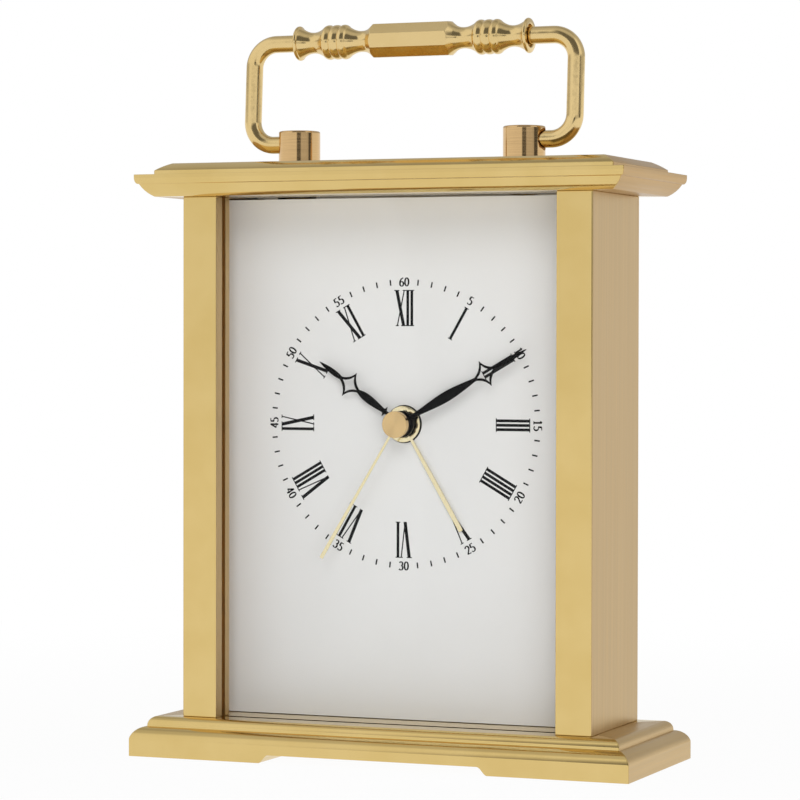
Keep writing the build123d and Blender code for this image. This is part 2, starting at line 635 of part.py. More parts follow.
def movement_back_housing():
    y_join = HOUSING_JOIN + FREE
    outside = local_block((-MOVE_HALF_W, MOVE_HALF_W), (y_join, BACK_WALL[1]), (BATTERY_WALL_Z[0], MOVE_TOP))
    inside = local_block((-MOVE_HALF_W + SHELL, MOVE_HALF_W - SHELL), (y_join - 1, BACK_WALL[0]),
                         (BATTERY_WALL_Z[1], MOVE_TOP - SHELL))
    shell = outside - inside
    bay = local_block((-MOVE_HALF_W, MOVE_HALF_W), (y_join, BAY_REAR), (MOVE_BOTTOM, BATTERY_WALL_Z[0]))
    bay -= local_block((-MOVE_HALF_W + SHELL, MOVE_HALF_W - SHELL), (y_join - 1, BAY_REAR + 1),
                       (MOVE_BOTTOM + SHELL, BATTERY_WALL_Z[0] + 1))
    shell += bay
    for at in (TIME_SET, ALARM_SET):
        shell -= disc(SET_SHAFT_R + RUNNING, (BACK_WALL[0] - 1, BACK_WALL[1] + 1), at)
    shell -= disc(ARBOR_R + PIVOT_FREE, (BACK_WALL[0] - 1, BACK_WALL[0] + 0.6), ROTOR)
    u, w = SWITCH_AT
    slot_u, slot_w = SWITCH_STEM[0] + 0.1, SWITCH_STEM[1] + 0.1
    shell -= local_block((u - slot_u, u + slot_u + SWITCH_TRAVEL), (BACK_WALL[0] - 1, BACK_WALL[1] + 1),
                         (w - slot_w, w + slot_w))
    hole_pitch, hole_r = 2.6, 0.6
    for row in range(3):
        for col in range(5):
            at = (BUZZER_AT[0] + (col - 2) * hole_pitch, BUZZER_AT[1] + (row - 1) * hole_pitch)
            shell -= disc(hole_r, (BACK_WALL[0] - 1, BACK_WALL[1] + 1), at)
    return shell


def gear_bridge():
    plate = local_block((-17.5, 4.0), BRIDGE_LAYER, (-15.1, 10.0))
    plate += local_block((4.0, 18.6), BRIDGE_LAYER, (-15.1, 3.0))
    through = (BRIDGE_LAYER[0] - 1, BRIDGE_LAYER[1] + 1)
    for at in BRIDGE_POSTS:
        plate -= disc(BRIDGE_PEG_R + 0.02, through, at)
    for at in (CENTRE, THIRD, STEP, MOTION):
        plate -= disc(ARBOR_R + PIVOT_FREE, through, at)
    return plate - disc(SET_SHAFT_R + 0.5, through, TIME_SET)


# ---------------------------------------------------------------- movement: motor and electronics
def stator():
    """Flat U of soft iron: a bar round the rotor and a leg to each end of the coil core."""
    left, right = COIL_U[0] - STATOR_OVERHANG, COIL_U[1] + STATOR_OVERHANG
    bar_w, leg_w = (9.6, 15.6), (15.6, 20.8)
    bar = local_block((left, right), STATOR_LAYER, bar_w)
    legs = [local_block((left, COIL_U[0] - 0.4), STATOR_LAYER, leg_w),
            local_block((COIL_U[1] + 0.4, right), STATOR_LAYER, leg_w)]
    return bar + legs - disc(MAGNET_R + 0.4, (STATOR_LAYER[0] - 1, STATOR_LAYER[1] + 1), ROTOR)


def coil_core():
    """Iron strip through the coil, lying on the stator's legs."""
    y = (STATOR_LAYER[0] - 1.1, STATOR_LAYER[0])
    u = (COIL_U[0] - STATOR_OVERHANG, COIL_U[1] + STATOR_OVERHANG)
    return local_block(u, y, (COIL_W - 1.0, COIL_W + 1.0))


def coil_winding():
    """Copper winding between two bobbin cheeks, with the slot for the core."""
    middle_y = STATOR_LAYER[0] - 0.55
    length = COIL_U[1] - COIL_U[0]
    place = Pos((COIL_U[0] + COIL_U[1]) / 2, middle_y, DIAL_CENTRE_Z + COIL_W) * Rot(0, 90, 0)
    winding = place * Cylinder(COIL_R - 0.25, length - 1.6)
    for end in (-1, 1):
        winding += place * Pos(0, 0, end * (length / 2 - 0.4)) * Cylinder(COIL_R, 0.8)
    slot = local_block((COIL_U[0] - 1, COIL_U[1] + 1), (middle_y - 0.6, middle_y + 0.6),
                       (COIL_W - 1.05, COIL_W + 1.05))
    return winding - slot


def circuit_board():
    return local_block((-27.0, -17.9), (6.0, 6.8), (-14.0, 8.6))


def control_chip():
    return local_block((-25.0, -20.5), (6.8, 7.8), (-1.5, 3.5))


def quartz_crystal():
    can = Pos(-24.6, 7.85, DIAL_CENTRE_Z - 8.0) * Cylinder(1.0, 6.0)
    return fillet(can.edges().filter_by(GeomType.CIRCLE), 0.3)


def buzzer():
    body = tube(BUZZER_R, 1.2, (4.9, 7.3), BUZZER_AT)
    return body + disc(BUZZER_R, (4.5, 4.9), BUZZER_AT)


def battery():
    place = Pos(0, BATTERY_Y, DIAL_CENTRE_Z + BATTERY_DROP) * Rot(0, 90, 0)
    can = place * Cylinder(BATTERY_R, 2 * BATTERY_HALF - 1.2)
    can = fillet(can.edges().filter_by(GeomType.CIRCLE), 0.8)
    return can + place * Pos(0, 0, BATTERY_HALF - 0.1) * Cylinder(2.7, 1.4)


def contact_plate(u, y_fold):
    """Sprung strip at one end of the battery bay, with a folded tab."""
    w = (BATTERY_DROP - 3.0, BATTERY_DROP + 3.0)
    strip = local_block((u, u + 0.3), (BATTERY_Y - 4.5, BATTERY_Y + 4.5), w)
    return strip + local_block(y_fold, (BATTERY_Y + 4.2, BATTERY_Y + 4.5), w)


def battery_contact_positive():
    return contact_plate(26.0, (26.0, 27.4))


def battery_contact_negative():
    return contact_plate(-26.3, (-27.4, -26.0))


# ---------------------------------------------------------------- movement: gears
ROTOR_PHASE = 0.0
STEP_WHEEL_PHASE = meshed_phase(ROTOR_DIR + 180, ROTOR_T, ROTOR_PHASE, STEP_T)
SECONDS_WHEEL_PHASE = meshed_phase(STEP_DIR + 180, STEP_PINION_T, 0.0, SECONDS_T)
THIRD_WHEEL_PHASE = meshed_phase(THIRD_DIR, SECONDS_PINION_T, 0.0, THIRD_T)
CENTRE_WHEEL_PHASE = meshed_phase(THIRD_DIR + 180, THIRD_PINION_T, 0.0, CENTRE_T)
MINUTE_WHEEL_PHASE = meshed_phase(MOTION_DIR, CANNON_T, 0.0, MINUTE_WHEEL_T)
HOUR_WHEEL_PHASE = meshed_phase(MOTION_DIR + 180, MINUTE_PINION_T, 0.0, HOUR_T)
SET_PINION_PHASE = meshed_phase(SET_DIR, MINUTE_WHEEL_T, MINUTE_WHEEL_PHASE, SET_PINION_T)
ALARM_PINION_PHASE = meshed_phase(ALARM_DIR, ALARM_T, 0.0, ALARM_PINION_T)


def rotor_pinion():
    staff = disc(ARBOR_R, (FRONT_PIVOT_Y, BACK_WALL[0] + 0.5), ROTOR)
    seat = disc(ROTOR_SEAT_R, (STEP_LAYER[1], MAGNET_LAYER[1] + 0.3), ROTOR)
    return gear(ROTOR_T, M_ROTOR, STEP_LAYER, ROTOR, ROTOR_PHASE) + staff + seat


def rotor_magnet():
    return tube(MAGNET_R, ROTOR_SEAT_R + 0.02, MAGNET_LAYER, ROTOR)


def step_wheel():
    pinion_layer = (SECONDS_LAYER[0] - 0.15, SECONDS_LAYER[1] + 0.15)
    wheel = gear(STEP_T, M_ROTOR, STEP_LAYER, STEP, STEP_WHEEL_PHASE)
    wheel += gear(STEP_PINION_T, M_STEP, (pinion_layer[0], STEP_LAYER[0]), STEP)
    return wheel + disc(ARBOR_R, (FRONT_PIVOT_Y, BRIDGE_LAYER[1]), STEP)


def seconds_wheel():
    wheel = gear(SECONDS_T, M_STEP, SECONDS_LAYER, CENTRE, SECONDS_WHEEL_PHASE)
    wheel += gear(SECONDS_PINION_T, M_THIRD, (THIRD_LAYER[0] - 0.1, SECONDS_LAYER[0]), CENTRE)
    return wheel + disc(SECONDS_ARBOR_R, (SECOND_HAND_Y[0], BRIDGE_LAYER[1]))


def third_wheel():
    wheel = gear(THIRD_T, M_THIRD, THIRD_LAYER, THIRD, THIRD_WHEEL_PHASE)
    wheel += gear(THIRD_PINION_T, M_CENTRE, (CENTRE_LAYER[0] - 0.1, THIRD_LAYER[0]), THIRD)
    return wheel + disc(ARBOR_R, (FRONT_PIVOT_Y, BRIDGE_LAYER[1]), THIRD)


def centre_wheel():
    """Friction-mounted on the rear of the minute pipe, so that the hands can be set."""
    wheel = gear(CENTRE_T, M_CENTRE, CENTRE_LAYER, CENTRE, CENTRE_WHEEL_PHASE)
    return wheel - disc(MINUTE_PIPE_R + 0.01, (CENTRE_LAYER[0] - 1, CENTRE_LAYER[1] + 1))


def minute_pipe():
    pinion = gear(CANNON_T, M_MOTION, MOTION_LAYER, CENTRE)
    pipe = pinion + disc(MINUTE_PIPE_R, (MINUTE_HAND_Y[0] - 0.5, CENTRE_LAYER[1]))
    return pipe - disc(MINUTE_BORE_R, (MINUTE_HAND_Y[0] - 2, CENTRE_LAYER[1] + 1))


def minute_wheel():
    wheel = gear(MINUTE_WHEEL_T, M_MOTION, MOTION_LAYER, MOTION, MINUTE_WHEEL_PHASE)
    wheel += gear(MINUTE_PINION_T, M_HOUR, (HOUR_LAYER[0] - 0.05, MOTION_LAYER[0]), MOTION)
    return wheel + disc(ARBOR_R, (FRONT_PIVOT_Y, BRIDGE_LAYER[1]), MOTION)


def hour_wheel():
    wheel = gear(HOUR_T, M_HOUR, HOUR_LAYER, CENTRE, HOUR_WHEEL_PHASE)
    wheel += disc(HOUR_PIPE_R, (HOUR_HAND_Y[0] - 0.4, HOUR_LAYER[1]))
    return wheel - disc(HOUR_BORE_R, (HOUR_HAND_Y[0] - 2, HOUR_LAYER[1] + 1))


def alarm_wheel():
    wheel = gear(ALARM_T, M_ALARM, ALARM_LAYER, CENTRE)
    wheel += disc(ALARM_PIPE_R, (ALARM_HAND_Y[0] - 0.2, ALARM_LAYER[1]))
    return wheel - disc(ALARM_BORE_R, (ALARM_HAND_Y[0] - 2, ALARM_LAYER[1] + 1))


def alarm_spring():
    """Leaf that presses the hour wheel towards the alarm wheel's cam."""
    y = (HOUR_LAYER[1] + 0.1, HOUR_LAYER[1] + 0.3)
    leaf = local_block((-17.0, -4.6), y, (-9.4, -7.4))
    foot = local_block((-17.2, -17.0), (FRONT_WALL[1], y[1]), (-9.4, -7.4))
    return leaf + foot


def setting_knob(at, teeth, module, layer, phase):
    """Rear knob with ribbed rim on a shaft that carries a pinion."""
    knob_y = (BACK_WALL[1] + 0.3, BACK_WALL[1] + 3.0)
    collar_r, bar_half, bar_half_thick, bar_rise = 2.4, 2.9, 0.5, 0.6
    ribs = Circle(SET_KNOB_R) + PolarLocations(SET_KNOB_R, 24) * Circle(0.28)
    knob = slab(ribs, knob_y, at)
    knob += disc(collar_r, (BACK_WALL[1] + 0.1, knob_y[1]), at)
    shaft = disc(SET_SHAFT_R, (layer[1], knob_y[0]), at)
    pivot = disc(SET_PIVOT_R, (FRONT_PIVOT_Y, layer[1] + 0.1), at)
    bar = local_block((at[0] - bar_half, at[0] + bar_half), (knob_y[1], knob_y[1] + bar_rise),
                      (at[1] - bar_half_thick, at[1] + bar_half_thick))
    return knob + shaft + pivot + bar + gear(teeth, module, layer, at, phase)


def time_set_knob():
    return setting_knob(TIME_SET, SET_PINION_T, M_MOTION, MOTION_LAYER, SET_PINION_PHASE)


def alarm_set_knob():
    return setting_knob(ALARM_SET, ALARM_PINION_T, M_ALARM, ALARM_LAYER, ALARM_PINION_PHASE)


def alarm_switch():
    """Slider: a plate inside the housing, a stem in the slot and a ridged thumb piece."""
    inner, outer = BACK_WALL

    def layer(size, y):
        half_u, half_w = size
        u, w = SWITCH_AT
        return local_block((u - half_u, u + half_u), y, (w - half_w, w + half_w))

    slider = layer(SWITCH_PLATE, (inner - 0.8, inner - 0.1))
    slider += layer(SWITCH_STEM, (inner - 0.2, outer + 0.2))
    slider += layer(SWITCH_THUMB, (outer + 0.1, outer + 1.5))
    groove, groove_pitch = 0.2, 1.2
    across = (SWITCH_AT[1] - 3, SWITCH_AT[1] + 3)
    for i in range(4):
        u = SWITCH_AT[0] + (i - 1.5) * groove_pitch
        slider -= local_block((u - groove, u + groove), (outer + 1.1, outer + 2), across)
    return slider


# ---------------------------------------------------------------- hands
def clockwise(angle):
    """Turn about the centre arbor, clockwise from twelve as seen from the front."""
    return Pos(0, 0, DIAL_CENTRE_Z) * Rot(0, angle, 0) * Pos(0, 0, -DIAL_CENTRE_Z)


def both_sides(points):
    """Right-hand edge through (distance, half width) points, and its mirror image run back."""
    right = [(x, r) for r, x in points]
    return right, [(-x, r) for x, r in right[::-1]]


def leaf(points):
    """Slender leaf whose half width follows a smooth curve through (distance, half width)."""
    right, left = both_sides(points)
    edges = [Spline(*right), Line(right[-1], left[0]), Spline(*left), Line(left[-1], right[0])]
    return make_face(Curve() + edges)


def hollow_star(near, middle, far, reach, neck, rim):
    """Open four-pointed diamond with hollow sides, between two distances from the arbor."""
    def outline(n, f, half, waist):
        pull = 0.30
        corners = [(waist, n), (half, middle), (waist, f), (-waist, f), (-half, middle), (-waist, n)]
        edges = []
        for a, b in ((0, 1), (1, 2), (3, 4), (4, 5)):
            (x0, z0), (x1, z1) = corners[a], corners[b]
            mid = ((x0 + x1) / 2 * (1 - pull * 0.55), (z0 + z1) / 2 + (middle - (z0 + z1) / 2) * pull)
            edges.append(ThreePointArc(corners[a], mid, corners[b]))
        edges += [Line(corners[2], corners[3]), Line(corners[5], corners[0])]
        return make_face(Curve() + edges)
    outer = outline(near, far, reach, neck)
    inner = outline(near + rim * 1.5, far - rim * 1.5, reach - rim * 1.9, 0.06)
    return outer - inner


def crossbar(distance, half_w, half_l):
    """Small four-pointed star with hollow sides, across the blade at a distance from the arbor."""
    corners = [(half_w, distance), (0, distance + half_l), (-half_w, distance), (0, distance - half_l)]
    hollow = 0.41
    edges = []
    for i, (x0, z0) in enumerate(corners):
        x1, z1 = corners[(i + 1) % 4]
        mid = ((x0 + x1) * hollow, distance + (z0 + z1 - 2 * distance) * hollow)
        edges.append(ThreePointArc((x0, z0), mid, (x1, z1)))
    return make_face(Curve() + edges)


def minute_hand():
    near, middle, far = 20.0, 22.8, 25.5
    blade = leaf([(2.0, 0.42), (6.0, 0.62), (12.5, 1.12), (17.5, 0.72), (near + 0.2, 0.36)])
    tip = leaf([(far - 0.2, 0.36), (28.0, 0.62), (31.0, 0.42), (MINUTE_LEN, 0.06)])
    face = blade + tip + hollow_star(near, middle, far, DIAMOND_HALF_W, HAND_NECK, DIAMOND_RIM)
    return finish_hand(face, MINUTE_HAND_Y, 2.6, MINUTE_PIPE_R, MINUTE_ANGLE, 0.4)


def hour_hand():
    near, middle, far = 12.2, 14.9, 17.5
    blade = leaf([(2.2, 0.4), (4.7, 0.42), (8.7, 0.88), (near + 0.2, 0.36)])
    barb = crossbar(4.75, 1.25, 0.7)
    tip = leaf([(far - 0.2, 0.36), (19.6, 0.6), (21.6, 0.42), (HOUR_LEN, 0.06)])
    face = blade + barb + tip + hollow_star(near, middle, far, DIAMOND_HALF_W, HAND_NECK, DIAMOND_RIM)
    return finish_hand(face, HOUR_HAND_Y, 2.9, HOUR_PIPE_R, HOUR_ANGLE, 0.3)


def alarm_hand():
    face = leaf([(3.0, 0.30), (10.0, 0.42), (19.0, 0.50), (ALARM_LEN, 0.48)])
    return finish_hand(face, ALARM_HAND_Y, 3.95, ALARM_PIPE_R, ALARM_ANGLE, 0.0)


def second_hand():
    face = leaf([(1.0, 0.28), (14.0, 0.30), (26.0, 0.38), (SECOND_LEN, 0.42)])
    return finish_hand(face, SECOND_HAND_Y, 2.2, SECONDS_ARBOR_R, SECOND_ANGLE, 0.0)


def finish_hand(face, layer, hub_r, pipe_r, angle, hub_extra):
    """Thicken a hand, add its hub, bore it for its pipe and point it."""
    hub_layer = (layer[0] - hub_extra, layer[1] + hub_extra)
    hand = slab(face, layer) + disc(hub_r, hub_layer)
    hand -= disc(pipe_r + 0.01, (layer[0] - 3, layer[1] + 3))
    return clockwise(angle) * hand


def hand_cap():
    """Brass button on the nose of the seconds arbor."""
    cap = disc(HAND_CAP_R, (CAP_FACE_Y, SECOND_HAND_Y[0]))
    return fillet(cap.edges().filter_by(GeomType.CIRCLE).sort_by(Axis.Y)[0], 0.12)


# ---------------------------------------------------------------- write the parts
PARTS = [
    base_plinth, base_felt_pads, cap_plate, side_frame_right, tie_rods, front_glass, dial_plate, dial_studs,
    handle_post_right, handle_post_screws, handle_arm_right, handle_grip,
    rear_door, door_hinge_pins, door_knob, door_magnet, door_strike,
    movement_front_housing, movement_back_housing, movement_screws, gear_bridge,
    stator, coil_core, coil_winding, circuit_board, control_chip, quartz_crystal, buzzer,
    battery, battery_contact_positive, battery_contact_negative,
    rotor_pinion, rotor_magnet, step_wheel, seconds_wheel, third_wheel, centre_wheel, minute_pipe,
    minute_wheel, hour_wheel, alarm_wheel, alarm_spring, time_set_knob, alarm_set_knob, alarm_switch,
    alarm_hand, hour_hand, minute_hand, second_hand, hand_cap,
]


def write(name, part):
    solids = part if isinstance(part, list) else [part]
    bodies = [s for item in solids for s in item.solids()]
    export_step(Compound(children=bodies) if len(bodies) > 1 else bodies[0], f"parts/{name}.step")


os.makedirs("parts", exist_ok=True)
for make in PARTS:
    made = make()
    write(make.__name__, made)
    if make.__name__.endswith("_right"):
        write(make.__name__.replace("_right", "_left"), flip(made))
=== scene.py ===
import json
from math import atan2, cos, degrees, hypot, pi, radians, sin

import bmesh
import bpy
from mathutils import Matrix, Vector
from mathutils.geometry import delaunay_2d_cdt


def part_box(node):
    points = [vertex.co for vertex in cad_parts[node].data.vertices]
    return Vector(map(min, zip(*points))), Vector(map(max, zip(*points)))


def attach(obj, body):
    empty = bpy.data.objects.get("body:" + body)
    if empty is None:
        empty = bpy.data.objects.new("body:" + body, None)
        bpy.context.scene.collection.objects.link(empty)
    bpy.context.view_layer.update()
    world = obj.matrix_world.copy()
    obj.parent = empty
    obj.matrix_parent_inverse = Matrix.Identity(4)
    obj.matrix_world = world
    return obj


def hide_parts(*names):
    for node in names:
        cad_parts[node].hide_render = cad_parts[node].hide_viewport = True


# Looks of a quartz alarm carriage clock. Sizes of the object are in millimetres; the places of the camera,
# the lights and the stage are in metres.

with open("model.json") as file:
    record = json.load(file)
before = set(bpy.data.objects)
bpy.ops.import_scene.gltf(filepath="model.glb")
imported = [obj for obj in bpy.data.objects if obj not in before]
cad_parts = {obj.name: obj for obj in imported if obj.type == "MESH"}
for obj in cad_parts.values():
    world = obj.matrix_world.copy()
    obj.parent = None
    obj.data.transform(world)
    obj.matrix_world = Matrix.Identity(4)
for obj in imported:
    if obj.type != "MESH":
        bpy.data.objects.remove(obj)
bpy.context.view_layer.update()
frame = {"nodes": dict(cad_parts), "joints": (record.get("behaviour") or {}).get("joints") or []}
MM = 0.001

# ---------------- places taken from the frame


def box_mm(node):
    """Lowest and highest corner of a CAD node, in millimetres."""
    low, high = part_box(node)
    return low / MM, high / MM


def joint_place(name):
    """Position of a joint, in millimetres."""
    found = next(j for j in frame["joints"] if j["name"] == name)
    return Vector(found["pos_m"]) / MM


BASE_HIGH = box_mm("base_plinth")[1]
CAP_LOW, CAP_HIGH = box_mm("cap_plate")
SIDE_INNER_X = box_mm("side_frame_right")[0].x
POST_LOW, POST_HIGH = box_mm("handle_post_right")
DIAL_FRONT_Y = box_mm("dial_plate")[0].y
FELT_LOW, FELT_HIGH = box_mm("base_felt_pads")
GLASS_LOW, GLASS_HIGH = box_mm("front_glass")
BATTERY_END_X = box_mm("battery")[1].x
DIAL_CENTRE = joint_place("minute_hand_turn")
PIVOT_Z = joint_place("handle_swing").z

# ---------------- driving sizes
EDGE = 0.22                  # rounding of the mitred corners
ARRIS = 0.10                 # rounding of the long edges of the mouldings
MOULDING_LAND = 2.0          # flat strip at the foot and the head of a moulding
CORNER_STEPS = 4

FASCIA_TOP, BASE_STEP, BASE_STEP_FOOT = 3.85, 6.35, 6.55
BASE_RUNS, BASE_SWELL = (2.7, 3.0, 4.8), 0.55
CHANNEL_HALF, CHANNEL_OGEE, CHANNEL_RISE = 24.0, 2.4, 1.8

LIP_UNDER_RUN, LIP_OVOLO_RUN, LIP_OVOLO_TOP, LIP_SWELL = 3.4, 0.85, 125.3, 0.28
LIP_RUN, LIP_ROUND, LIP_TOP = 0.65, 126.7, 127.36
TIER_INSET, TIER_FILLET, TIER_SLOPE, TIER_SWELL = 3.3, 128.32, 3.0, 0.12

POST_X = (POST_LOW.x + POST_HIGH.x) / 2
POST_R = (POST_HIGH.x - POST_LOW.x) / 2
POST_ROUND = 0.5
HANDLE_LEAN = 3.8
ARM_R, ARM_X, ARM_INNER_X, ARM_TOP_Z, ARM_BEND = 1.88, 37.8, 23.8, 157.0, 5.2
GRIP_HALF, GRIP_MOUTH_R, GRIP_MOUTH_DEPTH = 27.3, 2.5, 1.0
GRIP_FLAT, GRIP_ACROSS, GRIP_TURN = 8.75, 7.32, 7.2
GRIP_WAIST_R, GRIP_BEAD_R, GRIP_GROOVE_R, GRIP_SHOULDER_R = 2.3, 3.8, 3.5, 3.3
FIRST_BEAD_X, BEAD_PITCH, BEAD_SHOULDER = 15.85, 2.0, 0.85
GRIP_NECK, MOUTH_ROUND = (10.1, 2.85), 0.15

POST_SCREW_POCKET_R, POST_SCREW_POCKET = 3.1, 2.2
ROD_HEAD_R, ROD_HEAD_TOP = 2.65, 2.45
ROD_PLACES = ((44.3, -11.0), (42.2, 9.0))

NUMERAL_FOOT, NUMERAL_HEAD = 21.3, 29.15
TICK_FOOT, TICK_HEAD, TICK_WIDTH = 30.25, 31.5, 0.33
MINUTE_NUMBER_R, MINUTE_NUMBER_H = 30.9, 1.95
PRINT_THICK, PRINT_GAP = 0.02, 0.004


# ---------------- curves
def soften(points, size, steps=3, sharper_than=25):
    """Round every corner of an open run of points that turns by more than an angle."""
    points = [Vector(p) for p in points]
    out = [points[0]]
    for before, here, after in zip(points, points[1:], points[2:]):
        back, on = before - here, after - here
        if degrees(pi - back.angle(on)) < sharper_than:
            out.append(here)
            continue
        a = here + back.normalized() * min(size, back.length * 0.4)
        b = here + on.normalized() * min(size, on.length * 0.4)
        for i in range(steps + 1):
            t = i / steps
            out.append(a * (1 - t) ** 2 + here * 2 * t * (1 - t) + b * t ** 2)
    return out + [points[-1]]


def quarter(start, end, upright_first, steps=10):
    """Points of a convex quarter ellipse in (inset, z), after its start."""
    points = []
    for i in range(1, steps + 1):
        t = radians(90 * i / steps)
        along, across = (1 - cos(t), sin(t)) if upright_first else (sin(t), 1 - cos(t))
        points.append((start[0] + (end[0] - start[0]) * along, start[1] + (end[1] - start[1]) * across))
    return points


def arc_through(a, b, c, steps=12):
    """Points of the circular arc from a through b to c, after a."""
    (ax, ay), (bx, by), (cx, cy) = a, b, c
    d = 2 * (ax * (by - cy) + bx * (cy - ay) + cx * (ay - by))
    sa, sb, sc = ax * ax + ay * ay, bx * bx + by * by, cx * cx + cy * cy
    x = (sa * (by - cy) + sb * (cy - ay) + sc * (ay - by)) / d
    y = (sa * (cx - bx) + sb * (ax - cx) + sc * (bx - ax)) / d
    r = hypot(ax - x, ay - y)
    start, middle, end = (atan2(p[1] - y, p[0] - x) for p in (a, b, c))
    turn = (end - start) % (2 * pi)
    if (middle - start) % (2 * pi) > turn:
        turn -= 2 * pi
    angles = [start + turn * i / steps for i in range(1, steps + 1)]
    return [(x + r * cos(t), y + r * sin(t)) for t in angles]


def swelling(start, end, swell):
    """Points, after the start, of an arc in (inset, z) that stands out from its chord by swell."""
    (i0, z0), (i1, z1) = start, end
    length = hypot(i1 - i0, z1 - z0)
    middle = ((i0 + i1) / 2 - swell * (z1 - z0) / length, (z0 + z1) / 2 + swell * (i1 - i0) / length)
    return arc_through(start, middle, end)


def bezier(a, b, c, d, steps=16):
    """Points of a cubic Bezier, after its start."""
    a, b, c, d = (Vector(p) for p in (a, b, c, d))
    points = []
    for i in range(1, steps + 1):
        t = i / steps
        s = 1 - t
        points.append(tuple(a * s ** 3 + b * 3 * s * s * t + c * 3 * s * t * t + d * t ** 3))
    return points


# ---------------- meshes
def put(name, data):
    """New object of some data, in the scene."""
    obj = bpy.data.objects.new(name, data)
    bpy.context.scene.collection.objects.link(obj)
    return obj


def new_object(name, vertices, faces):
    """Object from points in millimetres, with its normals outward."""
    mesh = bpy.data.meshes.new(name)
    mesh.from_pydata([Vector(v) * MM for v in vertices], [], faces)
    work = bmesh.new()
    work.from_mesh(mesh)
    bmesh.ops.recalc_face_normals(work, faces=work.faces)
    work.to_mesh(mesh)
    work.free()
    return put(name, mesh)


def loft(rings):
    """Skin over rings of equally many points, closed at both ends."""
    count = len(rings[0])
    vertices = [p for ring in rings for p in ring]
    faces = []
    for i in range(len(rings) - 1):
        low, high = i * count, (i + 1) * count
        for j in range(count):
            k = (j + 1) % count
            faces.append((low + j, low + k, high + k, high + j))
    faces.append(tuple(reversed(range(count))))
    faces.append(tuple(range((len(rings) - 1) * count, len(rings) * count)))
    return vertices, faces


def rounded_rectangle(half_w, half_d, z, corner=EDGE, centre=(0.0, 0.0)):
    ring = []
    for sx, sy, start in ((1, 1, 0), (-1, 1, 90), (-1, -1, 180), (1, -1, 270)):
        for i in range(CORNER_STEPS + 1):
            a = radians(start + 90 * i / CORNER_STEPS)
            x = sx * (half_w - corner) + corner * cos(a)
            y = sy * (half_d - corner) + corner * sin(a)
            ring.append((centre[0] + x, centre[1] + y, z))
    return ring


def turned_rings(profile, place, sides):
    """Rings of a turned shape. profile holds (distance along the axis, radius); place maps to x, y, z."""
    rings = []
    for along, r in profile:
        circle = [2 * pi * i / sides for i in range(sides)]
        rings.append([place(along, r * cos(a), r * sin(a)) for a in circle])
    return rings


def upright(at):
    return lambda along, u, v: (at[0] + u, at[1] + v, along)


def across(z):
    return lambda along, u, v: (along, u, z + v)


def turned(name, profile, place, sides=72):
    return new_object(name, *loft(turned_rings(profile, place, sides)))


def block(name, low, high):
    """Plain cutter box."""
    rings = []
    for z in (low[2], high[2]):
        rings.append([(low[0], low[1], z), (high[0], low[1], z), (high[0], high[1], z), (low[0], high[1], z)])
    return new_object(name, *loft(rings))


def drop(obj):
    mesh = obj.data
    bpy.data.objects.remove(obj)
    bpy.data.meshes.remove(mesh)


def settle(obj):
    """Apply the modifiers of an object to its own mesh."""
    graph = bpy.context.evaluated_depsgraph_get()
    old = obj.data
    obj.data = bpy.data.meshes.new_from_object(obj.evaluated_get(graph))
    obj.modifiers.clear()
    obj.data.name = obj.name
    bpy.data.meshes.remove(old)


def carve(obj, cutters):
    for cutter in cutters:
        cut = obj.modifiers.new("cut", "BOOLEAN")
        cut.operation = "DIFFERENCE"
        cut.solver = "EXACT"
        cut.object = cutter
    settle(obj)
    for cutter in cutters:
        drop(cutter)


def ease_edges(obj, width, angle=40, segments=2):
    """Small rounding of the sharp edges."""
    edge = obj.modifiers.new("edge", "BEVEL")
    edge.width = width * MM
    edge.segments = segments
    edge.limit_method = "ANGLE"
    edge.angle_limit = radians(angle)
    edge.miter_outer = "MITER_ARC"


def shade(obj, sharp=34, weighted=True):
    obj.data.shade_smooth()
    obj.data.set_sharp_from_angle(angle=radians(sharp))
    if not weighted:
        return
    weights = obj.modifiers.new("weights", "WEIGHTED_NORMAL")
    weights.keep_sharp = True
    weights.weight = 60


def finish_piece(obj, body, material, replaces=()):
    obj.data.materials.clear()
    obj.data.materials.append(material)
    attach(obj, body)
    if replaces:
        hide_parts(*replaces)
    return obj


def mirrored(obj, name):
    """Copy of an object, mirrored left to right."""
    mesh = obj.data.copy()
    mesh.transform(Matrix.Scale(-1, 4, (1, 0, 0)))
    mesh.flip_normals()
    mesh.name = name
    return put(name, mesh)


